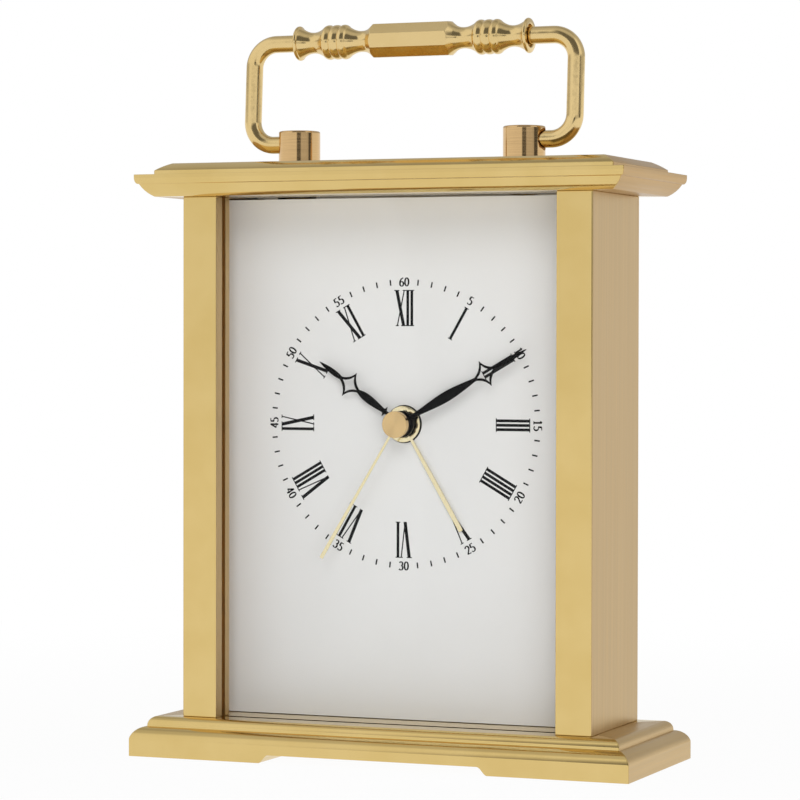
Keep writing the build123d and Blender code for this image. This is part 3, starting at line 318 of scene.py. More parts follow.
# ---------------- node graphs
class Graph:
    """Writes a node tree as nested calls."""

    def __init__(self, tree):
        self.tree = tree
        tree.nodes.clear()

    def node(self, kind, settings=(), inputs=()):
        made = self.tree.nodes.new("ShaderNode" + kind)
        for key, value in dict(settings).items():
            setattr(made, key, value)
        for key, value in dict(inputs).items():
            self.feed(made.inputs[key], value)
        return made

    def feed(self, socket, value):
        if isinstance(value, bpy.types.NodeSocket):
            self.tree.links.new(value, socket)
        elif socket.type == "RGBA" and len(value) == 3:
            socket.default_value = (*value, 1.0)
        else:
            socket.default_value = value

    def maths(self, operation, *values):
        made = self.node("Math", {"operation": operation})
        for socket, value in zip(made.inputs, values):
            self.feed(socket, value)
        return made.outputs[0]

    def spread(self, value, low, high, to_low=0.0, to_high=1.0, smooth=False):
        """Map a value from one range to another, clamped."""
        limits = {"From Min": low, "From Max": high, "To Min": to_low, "To Max": to_high}
        made = self.node("MapRange", {"interpolation_type": "SMOOTHSTEP" if smooth else "LINEAR"},
                         {"Value": value, **limits})
        return made.outputs["Result"]

    def vary(self, noise, low=0.0, high=1.0):
        """Spread a noise, which keeps near its middle, between two values."""
        return self.spread(noise, 0.3, 0.7, low, high)

    def distance(self, a, b):
        return self.maths("SQRT", self.maths("ADD", *(self.maths("MULTIPLY", v, v) for v in (a, b))))

    def radial(self, axis):
        return self.node("Tangent", {"direction_type": "RADIAL", "axis": axis}).outputs[0]

    def blend(self, factor, a, b):
        """Mix two colours."""
        made = self.node("Mix", {"data_type": "RGBA"})
        for index, value in ((0, factor), (6, a), (7, b)):
            self.feed(made.inputs[index], value)
        return made.outputs[2]

    def stretch(self, vector, scale):
        return self.node("Mapping", {}, {"Vector": vector, "Scale": scale}).outputs["Vector"]

    def noise(self, vector, scale, detail=2.0, roughness=0.5):
        made = self.node("TexNoise", {}, {"Vector": vector, "Scale": scale, "Detail": detail,
                                          "Roughness": roughness})
        return made.outputs["Fac"]

    def bump(self, height, strength, distance):
        made = self.node("Bump", {}, {"Height": height, "Strength": strength, "Distance": distance})
        return made.outputs["Normal"]

    def position(self):
        return self.node("TexCoord").outputs["Object"]

    def split(self, vector):
        made = self.node("SeparateXYZ", {}, {"Vector": vector})
        return made.outputs[0], made.outputs[1], made.outputs[2]

    def ramp(self, value, stops):
        """Smooth curve through (position 0 to 1, brightness), given in rising order."""
        made = self.node("ValToRGB", {}, {"Fac": value})
        made.color_ramp.interpolation = "EASE"
        elements = made.color_ramp.elements
        elements[0].position, elements[1].position = stops[0][0], stops[-1][0]
        for place, level in stops[1:-1]:
            elements.new(place)
        for element, (place, level) in zip(elements, stops):
            element.color = (level, level, level, 1.0)
        return made.outputs["Color"]

    def surface(self, shader):
        out = self.node("OutputMaterial")
        self.tree.links.new(shader, out.inputs["Surface"])

    def principled(self, **inputs):
        named = {key.replace("_", " "): value for key, value in inputs.items()}
        return self.node("BsdfPrincipled", {}, named).outputs[0]


def new_material(name):
    material = bpy.data.materials.new(name)
    material.use_nodes = True
    return material, Graph(material.node_tree)


# ---------------- materials: brass
POLISHED = (0.775, 0.575, 0.235)
SATIN = (0.665, 0.475, 0.235)
# The cap's mitred ends: satin brass made darker and more orange than the base ends, as painted shade.
SHADED_CAP_END = (0.61, 0.385, 0.135)
BASE_END = (0.68, 0.47, 0.195)


def wavy(g, place):
    """Slow unevenness of a hand-polished face."""
    slow = g.noise(place, 55.0, 1.5)
    return g.bump(slow, 0.22, 0.0004)


def brass_colour(g, place, colour):
    """Slight cloudy variation of tone, as lacquer gives."""
    cloud = g.spread(g.noise(place, 90.0, 3.0), 0.35, 0.65)
    deeper = tuple(c * k for c, k in zip(colour, (0.955, 0.94, 0.88)))
    return g.blend(cloud, colour, deeper)


def polished_shader(g, place):
    fine = g.vary(g.noise(place, 2600.0, 3.0), 0.09, 0.15)
    return g.principled(Base_Color=brass_colour(g, place, POLISHED), Metallic=1.0, Roughness=fine,
                        Normal=wavy(g, place))


def brushed_shader(g, place, grain, turn=0.0, colour=SATIN):
    """Satin brass. grain holds how finely the brush marks vary along each axis, per metre."""
    marks = g.noise(g.stretch(place, grain), 1.0, 4.0, 0.62)
    coarse = g.noise(g.stretch(place, tuple(s * 0.22 for s in grain)), 1.0, 2.0)
    tone = g.spread(g.maths("ADD", g.maths("MULTIPLY", marks, 0.6), g.maths("MULTIPLY", coarse, 0.4)),
                    0.36, 0.64)
    darker = tuple(c * 0.86 for c in colour)
    tangent = g.radial("Z")
    return g.principled(Base_Color=g.blend(tone, darker, colour), Metallic=1.0,
                        Roughness=g.vary(marks, 0.30, 0.42), Anisotropic=0.55,
                        Anisotropic_Rotation=turn, Tangent=tangent,
                        Normal=g.bump(marks, 0.25, 0.00003))


def mix_shader(g, factor, a, b):
    made = g.node("MixShader")
    g.feed(made.inputs[0], factor)
    g.tree.links.new(a, made.inputs[1])
    g.tree.links.new(b, made.inputs[2])
    return made.outputs[0]


def polished_brass():
    material, g = new_material("polished_brass")
    g.surface(polished_shader(g, g.position()))
    return material


def door_brass():
    """Brushed upright."""
    material, g = new_material("door_brass")
    g.surface(brushed_shader(g, g.position(), (4500.0, 4500.0, 70.0)))
    return material


def moulding_brass(name, half_w, half_d, end_colour):
    """Polished along the front and back, satin along the mitred ends, with the grain along each end."""
    material, g = new_material(name)
    place = g.position()
    x, y = g.split(place)[:2]
    from_end = g.maths("SUBTRACT", half_w * MM, g.maths("ABSOLUTE", x))
    from_front = g.maths("SUBTRACT", half_d * MM, g.maths("ABSOLUTE", y))
    is_end = g.maths("LESS_THAN", from_end, from_front)
    ends = brushed_shader(g, place, (3800.0, 60.0, 3800.0), turn=0.25, colour=end_colour)
    g.surface(mix_shader(g, is_end, polished_shader(g, place), ends))
    return material


def frame_brass():
    """Side frames: polished front strip, vertical brushing elsewhere."""
    material, g = new_material("frame_brass")
    place = g.position()
    normal = g.node("TexCoord").outputs["Normal"]
    facing = g.split(normal)[1]
    is_front = g.spread(facing, -0.8, -0.6, 1.0, 0.0)
    sides = brushed_shader(g, place, (4500.0, 4500.0, 55.0))
    g.surface(mix_shader(g, is_front, sides, polished_shader(g, place)))
    return material


def post_brass():
    """Turned posts: fine rings from the lathe, pinkish satin."""
    material, g = new_material("post_brass")
    place = g.position()
    marks = g.noise(g.stretch(place, (90.0, 90.0, 5200.0)), 1.0, 4.0, 0.6)
    tangent = g.radial("Z")
    warm = (0.74, 0.495, 0.235)
    tone = g.blend(g.spread(marks, 0.35, 0.65), tuple(c * 0.88 for c in warm), warm)
    g.surface(g.principled(Base_Color=tone, Metallic=1.0, Roughness=g.vary(marks, 0.08, 0.13),
                           Anisotropic=0.5, Anisotropic_Rotation=0.25, Tangent=tangent,
                           Normal=g.bump(marks, 0.2, 0.00002)))
    return material


def handle_brass():
    """Rods and grip: mirror polish with slight hand-buffed ripples."""
    material, g = new_material("handle_brass")
    place = g.position()
    ripple = g.noise(place, 210.0, 2.5)
    rough = g.vary(g.noise(place, 1500.0, 3.0), 0.12, 0.19)
    g.surface(g.principled(Base_Color=brass_colour(g, place, (0.83, 0.625, 0.30)), Metallic=1.0,
                           Roughness=rough, Normal=g.bump(ripple, 0.35, 0.00022)))
    return material


def spun_brass():
    """Hand button: concentric grooves that spread the light into two opposite fans."""
    material, g = new_material("spun_brass")
    x, _, z = g.split(g.position())
    dz = g.maths("SUBTRACT", z, DIAL_CENTRE.z * MM)
    along = g.node("CombineXYZ", {}, {"X": g.maths("MULTIPLY", g.distance(x, dz), 9000.0)}).outputs[0]
    marks = g.noise(along, 1.0, 3.0)
    tangent = g.radial("Y")
    gold = (0.84, 0.60, 0.30)
    tone = g.blend(g.vary(marks), tuple(c * 0.9 for c in gold), gold)
    g.surface(g.principled(Base_Color=tone, Metallic=1.0, Roughness=0.27, Anisotropic=0.92,
                           Anisotropic_Rotation=0.25, Tangent=tangent, Normal=g.bump(marks, 0.3, 0.00002)))
    return material


def pale_gold():
    material, g = new_material("pale_gold")
    place = g.position()
    grain = g.noise(place, 3000.0, 2.0)
    tone = g.blend(g.vary(grain), (0.86, 0.76, 0.48), (0.92, 0.82, 0.55))
    g.surface(g.principled(Base_Color=tone, Metallic=1.0, Roughness=g.vary(grain, 0.10, 0.16)))
    return material


def plain_brass():
    material, g = new_material("plain_brass")
    place = g.position()
    fine = g.noise(place, 2400.0, 3.0)
    g.surface(g.principled(Base_Color=brass_colour(g, place, (0.75, 0.58, 0.28)), Metallic=1.0,
                           Roughness=g.vary(fine, 0.22, 0.34),
                           Normal=g.bump(fine, 0.15, 0.00002)))
    return material


# ---------------- materials: the rest
def float_glass():
    """Clear coated glass with a faint mirror film, and brass where its edges sit in the side frames."""
    material, g = new_material("float_glass")
    clear = g.node("BsdfTransparent", {}, {"Color": (0.992, 0.992, 0.988)}).outputs[0]
    mirror = g.node("BsdfGlossy", {}, {"Color": (1.0, 1.0, 1.0), "Roughness": 0.0}).outputs[0]
    film = g.node("Fresnel", {}, {"IOR": 1.45}).outputs[0]
    smear = g.vary(g.noise(g.position(), 30.0, 3.0), 0.11, 0.16)
    pane = mix_shader(g, g.maths("MULTIPLY", film, smear), clear, mirror)
    x = g.split(g.position())[0]
    blur = 0.05
    held = g.spread(g.maths("ABSOLUTE", x), (SIDE_INNER_X - blur) * MM, (SIDE_INNER_X + blur) * MM)
    seal = g.principled(Base_Color=SATIN, Metallic=1.0, Roughness=0.4)
    g.surface(mix_shader(g, held, pane, seal))
    return material


def dial_white():
    """Matt white lacquer with a trace of orange peel."""
    material, g = new_material("dial_white")
    place = g.position()
    peel = g.noise(place, 1800.0, 3.0)
    cloud = g.spread(g.noise(place, 60.0, 2.0), 0.35, 0.65)
    tone = g.blend(cloud, (0.845, 0.848, 0.848), (0.86, 0.863, 0.864))
    g.surface(g.principled(Base_Color=tone, Roughness=g.vary(peel, 0.42, 0.52),
                           Normal=g.bump(peel, 0.08, 0.00002)))
    return material


def dial_ink():
    material, g = new_material("dial_ink")
    grain = g.noise(g.position(), 5200.0, 3.0)
    tone = g.blend(g.spread(grain, 0.35, 0.65), (0.006, 0.006, 0.007), (0.014, 0.014, 0.015))
    g.surface(g.principled(Base_Color=tone, Roughness=g.vary(grain, 0.42, 0.6),
                           Specular_IOR_Level=0.08))
    return material


def hand_black():
    """Black lacquer on stamped metal."""
    material, g = new_material("hand_black")
    grain = g.noise(g.position(), 2600.0, 3.0)
    tone = g.blend(g.vary(grain), (0.0025, 0.0025, 0.0028), (0.005, 0.005, 0.0055))
    g.surface(g.principled(Base_Color=tone, Roughness=g.vary(grain, 0.14, 0.22),
                           Specular_IOR_Level=0.04, Normal=g.bump(grain, 0.06, 0.00002)))
    return material


def felt():
    """Black felt: short matted fibres."""
    material, g = new_material("felt")
    place = g.position()
    fibres = g.noise(place, 3400.0, 6.0, 0.75)
    clumps = g.noise(place, 600.0, 3.0)
    tone = g.blend(g.spread(fibres, 0.35, 0.65), (0.012, 0.012, 0.013), (0.055, 0.055, 0.056))
    height = g.maths("ADD", fibres, g.maths("MULTIPLY", clumps, 0.6))
    g.surface(g.principled(Base_Color=tone, Roughness=0.95, Sheen_Weight=0.6, Sheen_Roughness=0.5,
                           Normal=g.bump(height, 0.8, 0.0001)))
    return material


def metal(name, light, dark, rough, scale=2200.0, grain=(1.0, 1.0, 1.0)):
    """Plain metal with a fine, slightly streaked tone."""
    material, g = new_material(name)
    fine = g.noise(g.stretch(g.position(), grain), scale, 4.0, 0.6)
    g.surface(g.principled(Base_Color=g.blend(g.vary(fine), dark, light), Metallic=1.0,
                           Roughness=g.vary(fine, rough * 0.8, rough * 1.2),
                           Normal=g.bump(fine, 0.12, 0.00002)))
    return material


def moulded(name, light, dark, rough, texture=0.25):
    """Moulded plastic with the fine texture of its tool."""
    material, g = new_material(name)
    place = g.position()
    grain = g.noise(place, 2600.0, 4.0, 0.6)
    cloud = g.noise(place, 120.0, 2.0)
    g.surface(g.principled(Base_Color=g.blend(g.spread(cloud, 0.35, 0.65), dark, light),
                           Roughness=g.vary(grain, rough * 0.85, rough * 1.15),
                           Normal=g.bump(grain, texture, 0.00004)))
    return material


def copper_winding():
    """Enamelled wire laid turn beside turn along X."""
    material, g = new_material("copper_winding")
    place = g.position()
    x = g.split(place)[0]
    wire = 0.16
    turns = g.maths("SINE", g.maths("MULTIPLY", x, 2 * pi / (wire * MM)))
    # The tone runs from dark in the grooves between turns to light on each turn's crest: painted shade and
    # painted highlight, laid over the bump.
    tone = g.blend(g.spread(turns, -1.0, 1.0), (0.30, 0.09, 0.035), (0.72, 0.30, 0.13))
    g.surface(g.principled(Base_Color=tone, Metallic=0.8, Roughness=0.3,
                           Normal=g.bump(turns, 0.7, 0.00005)))
    return material


def board_green():
    """Solder mask with copper tracks showing faintly through it."""
    material, g = new_material("board_green")
    x, _, z = g.split(g.position())
    cell = g.node("CombineXYZ", {}, {"X": g.maths("MULTIPLY", x, 700.0), "Y": g.maths("MULTIPLY", z, 220.0)})
    tracks = g.node("TexBrick", {"offset": 0.37},
                    {"Vector": cell.outputs[0], "Scale": 1.0, "Mortar Size": 0.09})
    tone = g.blend(tracks.outputs["Fac"], (0.012, 0.10, 0.04), (0.03, 0.20, 0.08))
    g.surface(g.principled(Base_Color=tone, Roughness=0.32, Coat_Weight=0.3,
                           Normal=g.bump(tracks.outputs["Fac"], 0.3, 0.00004)))
    return material


def battery_jacket():
    """Printed jacket: dark grey body, with a gold band and a bare nib at the positive end."""
    material, g = new_material("battery_jacket")
    place = g.position()
    x = g.split(place)[0]
    band = g.spread(x, (BATTERY_END_X - 11.0) * MM, (BATTERY_END_X - 10.8) * MM)
    nib = g.spread(x, (BATTERY_END_X - 1.9) * MM, (BATTERY_END_X - 1.8) * MM)
    body = g.blend(band, (0.055, 0.06, 0.07), (0.42, 0.30, 0.10))
    tone = g.blend(nib, body, (0.62, 0.62, 0.60))
    fine = g.noise(place, 900.0, 3.0)
    g.surface(g.principled(Base_Color=tone, Metallic=g.spread(nib, 0.0, 1.0, 0.25, 1.0),
                           Roughness=g.vary(fine, 0.22, 0.34), Coat_Weight=0.4))
    return material


# ---------------- case
def moulding_rings(profile, half_w, half_d):
    """Rings that run a profile of (inset, z) round a rectangle, mitred at its corners."""
    return [rounded_rectangle(half_w - inset, half_d - inset, z) for inset, z in profile]


def base_profile():
    first, step, second = BASE_RUNS
    run = [(MOULDING_LAND, 0.0), (0.0, 0.0), (0.0, FASCIA_TOP)]
    run += swelling(run[-1], (first, BASE_STEP), BASE_SWELL)
    run += [(step, BASE_STEP), (step, BASE_STEP_FOOT)]
    run += quarter(run[-1], (second, BASE_HIGH.z), True)
    return soften(run + [(second + MOULDING_LAND, BASE_HIGH.z)], ARRIS, sharper_than=12)


def foot_channel():
    """Cutter for the recess between the feet, with an ogee at each end."""
    steps = 14
    right = []
    for i in range(steps + 1):
        t = i / steps
        right.append((CHANNEL_HALF + CHANNEL_OGEE * (1 - t), CHANNEL_RISE * (1 - cos(pi * t)) / 2))
    right[0] = (right[0][0], 0.0)
    outline = [(CHANNEL_HALF + CHANNEL_OGEE, -2.0)] + right
    outline += [(-x, z) for x, z in reversed(outline)]
    reach = 2 * BASE_HIGH.y
    rings = [[(x, y, z) for x, z in outline] for y in (-reach, reach)]
    return new_object("channel_cutter", *loft(rings))


def rod_columns(r, low, high):
    """Cutters round the four tie rods."""
    profile = [(low, r), (high, r)]
    return [turned("rod_cutter", profile, upright((sx * x, y)), 32) for x, y in ROD_PLACES for sx in (-1, 1)]


def felt_cutters():
    clear = 0.05
    inner = felt_inner_edge()
    spans = [(inner - clear, FELT_HIGH.x + clear), (FELT_LOW.x - clear, -inner + clear)]
    return [block("felt_cutter", (a, FELT_LOW.y - clear, -1.0), (b, FELT_HIGH.y + clear, FELT_HIGH.z))
            for a, b in spans]


def felt_inner_edge():
    """Inner edge of the right-hand felt pad."""
    pads = frame["nodes"]["base_felt_pads"].data.vertices
    return min(v.co.x for v in pads if v.co.x > 0) / MM


def glass_cutter(z):
    clear = 0.02
    return block("glass_cutter", (GLASS_LOW.x - 0.3, GLASS_LOW.y - clear, z[0]),
                 (GLASS_HIGH.x + 0.3, GLASS_HIGH.y + clear, z[1]))


def build_base(material):
    base = new_object("base_moulding", *loft(moulding_rings(base_profile(), BASE_HIGH.x, BASE_HIGH.y)))
    cutters = [foot_channel(), glass_cutter((GLASS_LOW.z - 0.2, BASE_HIGH.z + 1))]
    cutters += felt_cutters() + rod_columns(ROD_HEAD_R, -1.0, ROD_HEAD_TOP)
    carve(base, cutters)
    ease_edges(base, 0.10, angle=48)
    shade(base)
    return finish_piece(base, "case", material, ["base_plinth"])


def cap_profile():
    """(inset, z) of the lip and the upper tier."""
    lip = [(LIP_UNDER_RUN + MOULDING_LAND, CAP_LOW.z), (LIP_UNDER_RUN, CAP_LOW.z)]
    lip += swelling(lip[-1], (LIP_OVOLO_RUN, LIP_OVOLO_TOP), LIP_SWELL)
    lip += [(LIP_RUN, LIP_OVOLO_TOP)]
    lip += quarter(lip[-1], (0.0, LIP_ROUND), False)
    profile = lip + [(0.0, LIP_TOP), (TIER_INSET, LIP_TOP), (TIER_INSET, TIER_FILLET)]
    profile += swelling(profile[-1], (TIER_INSET + TIER_SLOPE, CAP_HIGH.z), TIER_SWELL)
    profile.append((TIER_INSET + TIER_SLOPE + MOULDING_LAND, CAP_HIGH.z))
    return soften(profile, ARRIS, sharper_than=12)


def build_cap(material):
    cap = new_object("cap_moulding", *loft(moulding_rings(cap_profile(), CAP_HIGH.x, CAP_HIGH.y)))
    pocket = [(CAP_LOW.z - 1.0, POST_SCREW_POCKET_R), (CAP_LOW.z + POST_SCREW_POCKET, POST_SCREW_POCKET_R)]
    cutters = [turned("screw_cutter", pocket, upright((sx * POST_X, 0.0)), 40) for sx in (-1, 1)]
    cutters.append(glass_cutter((CAP_LOW.z - 1, GLASS_HIGH.z + 0.2)))
    carve(cap, cutters)
    shade(cap)
    return finish_piece(cap, "case", material, ["cap_plate"])


def build_felt(material):
    """Two pads with softened edges, narrowing a little towards the floor."""
    inner = felt_inner_edge()
    half_w = (FELT_HIGH.x - inner) / 2
    half_d = (FELT_HIGH.y - FELT_LOW.y) / 2
    corner, centre = 1.0, ((FELT_HIGH.x + inner) / 2, 0.0)
    edge = ((0.25, FELT_HIGH.z), (0.0, FELT_HIGH.z - 0.1), (0.0, 0.25), (0.1, 0.08), (0.35, 0.0))
    rings = [rounded_rectangle(half_w - inset, half_d - inset, z, corner, centre) for inset, z in edge]
    right = new_object("felt_pad_right", *loft(rings))
    left = mirrored(right, "felt_pad_left")
    for pad in (right, left):
        ease_edges(pad, 0.05)
        shade(pad)
        finish_piece(pad, "case", material)
    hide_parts("base_felt_pads")
    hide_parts("base_felt_pads")


# ---------------- handle
def build_posts(material):
    foot, head = POST_LOW.z, POST_HIGH.z
    core = 0.5
    outer = soften([(foot, core), (foot, POST_R), (head, POST_R), (head, core)], POST_ROUND, 5)
    post = turned("handle_post_turned_right", [(p[0], p[1]) for p in outer], upright((POST_X, 0.0)), 96)
    bore_r, mouth_r = ARM_R + 0.06, ARM_R + 0.5
    mouth_x = POST_HIGH.x - 0.75
    bore = [(ARM_INNER_X - 0.4, bore_r), (mouth_x, bore_r), (mouth_x, mouth_r),
            (POST_HIGH.x + 1.0, mouth_r + 0.12)]
    carve(post, [turned("bore_cutter", bore, across(PIVOT_Z), 64)])
    left = mirrored(post, "handle_post_turned_left")
    for piece, node in ((post, "handle_post_right"), (left, "handle_post_left")):
        ease_edges(piece, 0.07)
        shade(piece)
        finish_piece(piece, "case", material, [node])


def lean(piece):
    """Tip a piece of the handle, built upright, back about the pivots."""
    pivot = Vector((0.0, 0.0, PIVOT_Z * MM))
    turn = Matrix.Rotation(radians(-HANDLE_LEAN), 4, "X")
    piece.data.transform(Matrix.Translation(pivot) @ turn @ Matrix.Translation(-pivot))


def arm_path():
    """Centre line in (x, z), from the post to the grip, with a bend of even radius at each corner."""
    steps = 20
    path = [(ARM_INNER_X, PIVOT_Z)]
    bend_x = ARM_X - ARM_BEND
    for start, centre in ((-90, (bend_x, PIVOT_Z + ARM_BEND)), (0, (bend_x, ARM_TOP_Z - ARM_BEND))):
        for i in range(steps + 1):
            a = radians(start + 90 * i / steps)
            path.append((centre[0] + ARM_BEND * cos(a), centre[1] + ARM_BEND * sin(a)))
    return path + [(GRIP_HALF - GRIP_MOUTH_DEPTH, ARM_TOP_Z)]


def build_arms(material):
    path, sides = arm_path(), 72
    rings = []
    for i, (x, z) in enumerate(path):
        before, after = path[max(i - 1, 0)], path[min(i + 1, len(path) - 1)]
        along = Vector((after[0] - before[0], after[1] - before[1])).normalized()
        ring = []
        for j in range(sides):
            a = 2 * pi * j / sides
            out = ARM_R * cos(a)
            ring.append((x - along.y * out, ARM_R * sin(a), z + along.x * out))
        rings.append(ring)
    arm = new_object("handle_rod_right", *loft(rings))
    lean(arm)
    left = mirrored(arm, "handle_rod_left")
    for piece, node in ((arm, "handle_arm_right"), (left, "handle_arm_left")):
        shade(piece, weighted=False)
        finish_piece(piece, "handle", material, [node])


def grip_half_profile():
    """(x, radius) from the middle of the grip to the bottom of the mouth in its end.

    The middle two points of each bezier pull its curve.
    """
    corner_r = GRIP_ACROSS / 2 / cos(pi / 8)
    waist, shoulder = GRIP_WAIST_R, GRIP_SHOULDER_R
    points = [(0.0, corner_r), (GRIP_FLAT, corner_r), GRIP_NECK]
    points += bezier(points[-1], (10.75, 2.43), (11.3, waist), (12.1, waist))
    points += bezier(points[-1], (13.1, waist), (14.1, 2.71), (FIRST_BEAD_X - BEAD_SHOULDER, shoulder))
    start = points[-1]
    for i in range(3):
        crest = FIRST_BEAD_X + BEAD_PITCH * i
        end = (crest + BEAD_PITCH / 2, GRIP_GROOVE_R) if i < 2 else (crest + BEAD_SHOULDER, shoulder)
        points += arc_through(start, (crest, GRIP_BEAD_R), end)
        start = end
    points += bezier(start, (21.6, 2.71), (22.4, waist), (23.45, waist))
    points += bezier(points[-1], (24.6, waist), (25.5, 2.75), (26.45, 3.42))
    points += arc_through(points[-1], (26.95, GRIP_BEAD_R), (GRIP_HALF, GRIP_GROOVE_R))
    points += [(GRIP_HALF, GRIP_MOUTH_R + MOUTH_ROUND), (GRIP_HALF - MOUTH_ROUND, GRIP_MOUTH_R)]
    return points + [(GRIP_HALF - GRIP_MOUTH_DEPTH, GRIP_MOUTH_R)]


def octagon_prism(reach, z):
    """Bar of octagonal section with slightly rounded corners."""
    apothem, corner, steps = GRIP_ACROSS / 2, 0.14, 3
    tip = (apothem - corner) / cos(pi / 8)
    ring = []
    for k in range(8):
        middle = radians(22.5 + 45 * k + GRIP_TURN)
        for i in range(steps + 1):
            a = middle + radians(22.5) * (2 * i / steps - 1)
            ring.append((tip * cos(middle) + corner * cos(a), tip * sin(middle) + corner * sin(a)))
    rings = [[(x, u, z + v) for u, v in ring] for x in (-reach, reach)]
    return new_object("facet_cutter", *loft(rings))


def build_grip(material):
    half = grip_half_profile()
    whole = [(-x, r) for x, r in reversed(half)] + half[1:]
    grip = turned("handle_grip_turned", whole, across(ARM_TOP_Z), 96)
    reach = GRIP_FLAT + 1.3
    outside = turned("waist_cutter", [(-reach, 9.0), (reach, 9.0)], across(ARM_TOP_Z), 48)
    carve(outside, [octagon_prism(reach + 1.0, ARM_TOP_Z)])
    carve(grip, [outside])
    lean(grip)
    ease_edges(grip, 0.06, angle=30)
    shade(grip, 28)
    return finish_piece(grip, "handle", material, ["handle_grip"])


# ---------------- dial print
def on_dial(u, v, clock_angle):
    """Point of a mark drawn upright at twelve, turned clockwise about the dial centre."""
    a = radians(clock_angle)
    return (u * cos(a) + v * sin(a), v * cos(a) - u * sin(a))


def anticlockwise(polygon):
    turns = [a[0] * b[1] - b[0] * a[1] for a, b in zip(polygon, polygon[1:] + polygon[:1])]
    return polygon if sum(turns) > 0 else polygon[::-1]


def print_piece(name, polygons, material):
    """Thin printed film over the union of polygons given in dial coordinates."""
    points, faces = [], []
    for polygon in polygons:
        faces.append(list(range(len(points), len(points) + len(polygon))))
        points += [Vector(p) for p in anticlockwise(polygon)]
    corners, _, triangles, _, _, sources = delaunay_2d_cdt(points, [], faces, 0, 1e-5)
    work = bmesh.new()
    y = DIAL_FRONT_Y - PRINT_GAP
    verts = [work.verts.new(Vector((c.x, y, c.y + DIAL_CENTRE.z)) * MM) for c in corners]
    for triangle, source in zip(triangles, sources):
        if source:
            work.faces.new([verts[i] for i in triangle])
    bmesh.ops.delete(work, geom=[v for v in work.verts if not v.link_faces], context="VERTS")
    front = bmesh.ops.extrude_face_region(work, geom=work.faces[:])["geom"]
    lifted = [v for v in front if isinstance(v, bmesh.types.BMVert)]
    bmesh.ops.translate(work, vec=(0, -PRINT_THICK * MM, 0), verts=lifted)
    bmesh.ops.recalc_face_normals(work, faces=work.faces)
    mesh = bpy.data.meshes.new(name)
    work.to_mesh(mesh)
    work.free()
    return finish_piece(put(name, mesh), "case", material)


THICK, V_THICK, THIN, SERIF, OVERHANG = 0.62, 0.74, 0.26, 0.2, 0.24
STEM_PITCH, AFTER_X, AFTER_V = 0.95, 0.86, 0.8
X_TOP, X_FOOT, V_TOP, V_FOOT = 1.76, 1.5, 1.9, 0.52


def bar(x0, x1, width):
    """Stroke from the foot at x0 to the head at x1, of even horizontal width."""
    h, w = NUMERAL_HEAD - NUMERAL_FOOT, width / 2
    return [(x0 - w, 0.0), (x0 + w, 0.0), (x1 + w, h), (x1 - w, h)]


def serif(x0, x1, top):
    h = NUMERAL_HEAD - NUMERAL_FOOT
    low, high = (h - SERIF, h) if top else (0.0, SERIF)
    return [(x0, low), (x1, low), (x1, high), (x0, high)]


def span(x, width):
    """Reach of the serif on a stroke end."""
    return x - width / 2 - OVERHANG, x + width / 2 + OVERHANG


def numeral(text):
    """Strokes of a Roman numeral, centred, standing on v = 0."""
    strokes, heads, feet = [], [], []
    x = 0.0
    for letter in text:
        if letter == "I":
            strokes.append(bar(x, x, THICK))
            heads.append(span(x, THICK))
            feet.append(span(x, THICK))
            x += STEM_PITCH
        elif letter == "X":
            inset = (X_TOP - X_FOOT) / 2
            left_foot, right_foot, right = x + inset, x + X_TOP - inset, x + X_TOP
            strokes += [bar(right_foot, x, V_THICK), bar(left_foot, right, THIN)]
            heads += [span(x, V_THICK), span(right, THIN)]
            feet += [span(left_foot, THIN), span(right_foot, V_THICK)]
            x += X_TOP + STEM_PITCH * AFTER_X
        else:
            foot = x + V_TOP * V_FOOT
            strokes += [bar(foot, x, V_THICK), bar(foot, x + V_TOP, THIN)]
            heads += [span(x, V_THICK), span(x + V_TOP, THIN)]
            x += V_TOP + STEM_PITCH * AFTER_V
    strokes += [serif(a, b, True) for a, b in heads]
    strokes += [serif(a, b, False) for a, b in feet]
    reach = [u for stroke in strokes for u, _ in stroke]
    middle = (min(reach) + max(reach)) / 2
    return [[(u - middle, v) for u, v in stroke] for stroke in strokes]


def build_numerals(ink):
    names = ["XII", "I", "II", "III", "IIII", "V", "VI", "VII", "VIII", "IX", "X", "XI"]
    polygons = []
    for hour, text in enumerate(names):
        for stroke in numeral(text):
            polygons.append([on_dial(u, NUMERAL_FOOT + v, 30 * hour) for u, v in stroke])
    print_piece("dial_numerals", polygons, ink)


def build_minute_track(ink):
    w = TICK_WIDTH / 2
    tick = [(-w, TICK_FOOT), (w, TICK_FOOT), (w, TICK_HEAD), (-w, TICK_HEAD)]
    ticks = [[on_dial(u, v, 6 * m) for u, v in tick] for m in range(60) if m % 5]
    print_piece("dial_minute_track", ticks, ink)


def oval(cx, cy, rx, ry, start, end, steps=14):
    """Run of points on an ellipse, angles anticlockwise from the right."""
    out = []
    for i in range(steps + 1):
        a = radians(start + (end - start) * i / steps)
        out.append((cx + rx * cos(a), cy + ry * sin(a)))
    return out


# centre lines of upright figures, in a box one unit tall
FIGURES = {
    "0": [oval(0.27, 0.5, 0.22, 0.45, 0, 360, 24)],
    "1": [[(0.10, 0.80), (0.27, 0.95), (0.27, 0.03)], [(0.10, 0.03), (0.44, 0.03)]],
    "2": [oval(0.27, 0.70, 0.21, 0.25, 165, -25) + [(0.06, 0.06), (0.50, 0.06)]],
    "3": [oval(0.25, 0.72, 0.19, 0.23, 150, -80), oval(0.24, 0.28, 0.23, 0.25, 85, -150)],
    "4": [[(0.38, 0.03), (0.38, 0.96), (0.03, 0.28), (0.52, 0.28)]],
    "5": [[(0.45, 0.94), (0.14, 0.94), (0.11, 0.55)], oval(0.24, 0.30, 0.24, 0.27, 118, -140)],
    "6": [oval(0.28, 0.29, 0.21, 0.26, 0, 360, 20), oval(0.52, 0.34, 0.46, 0.61, 98, 178)],
}
FIGURE_ADVANCE, FIGURE_WIDTH = 0.62, 0.54
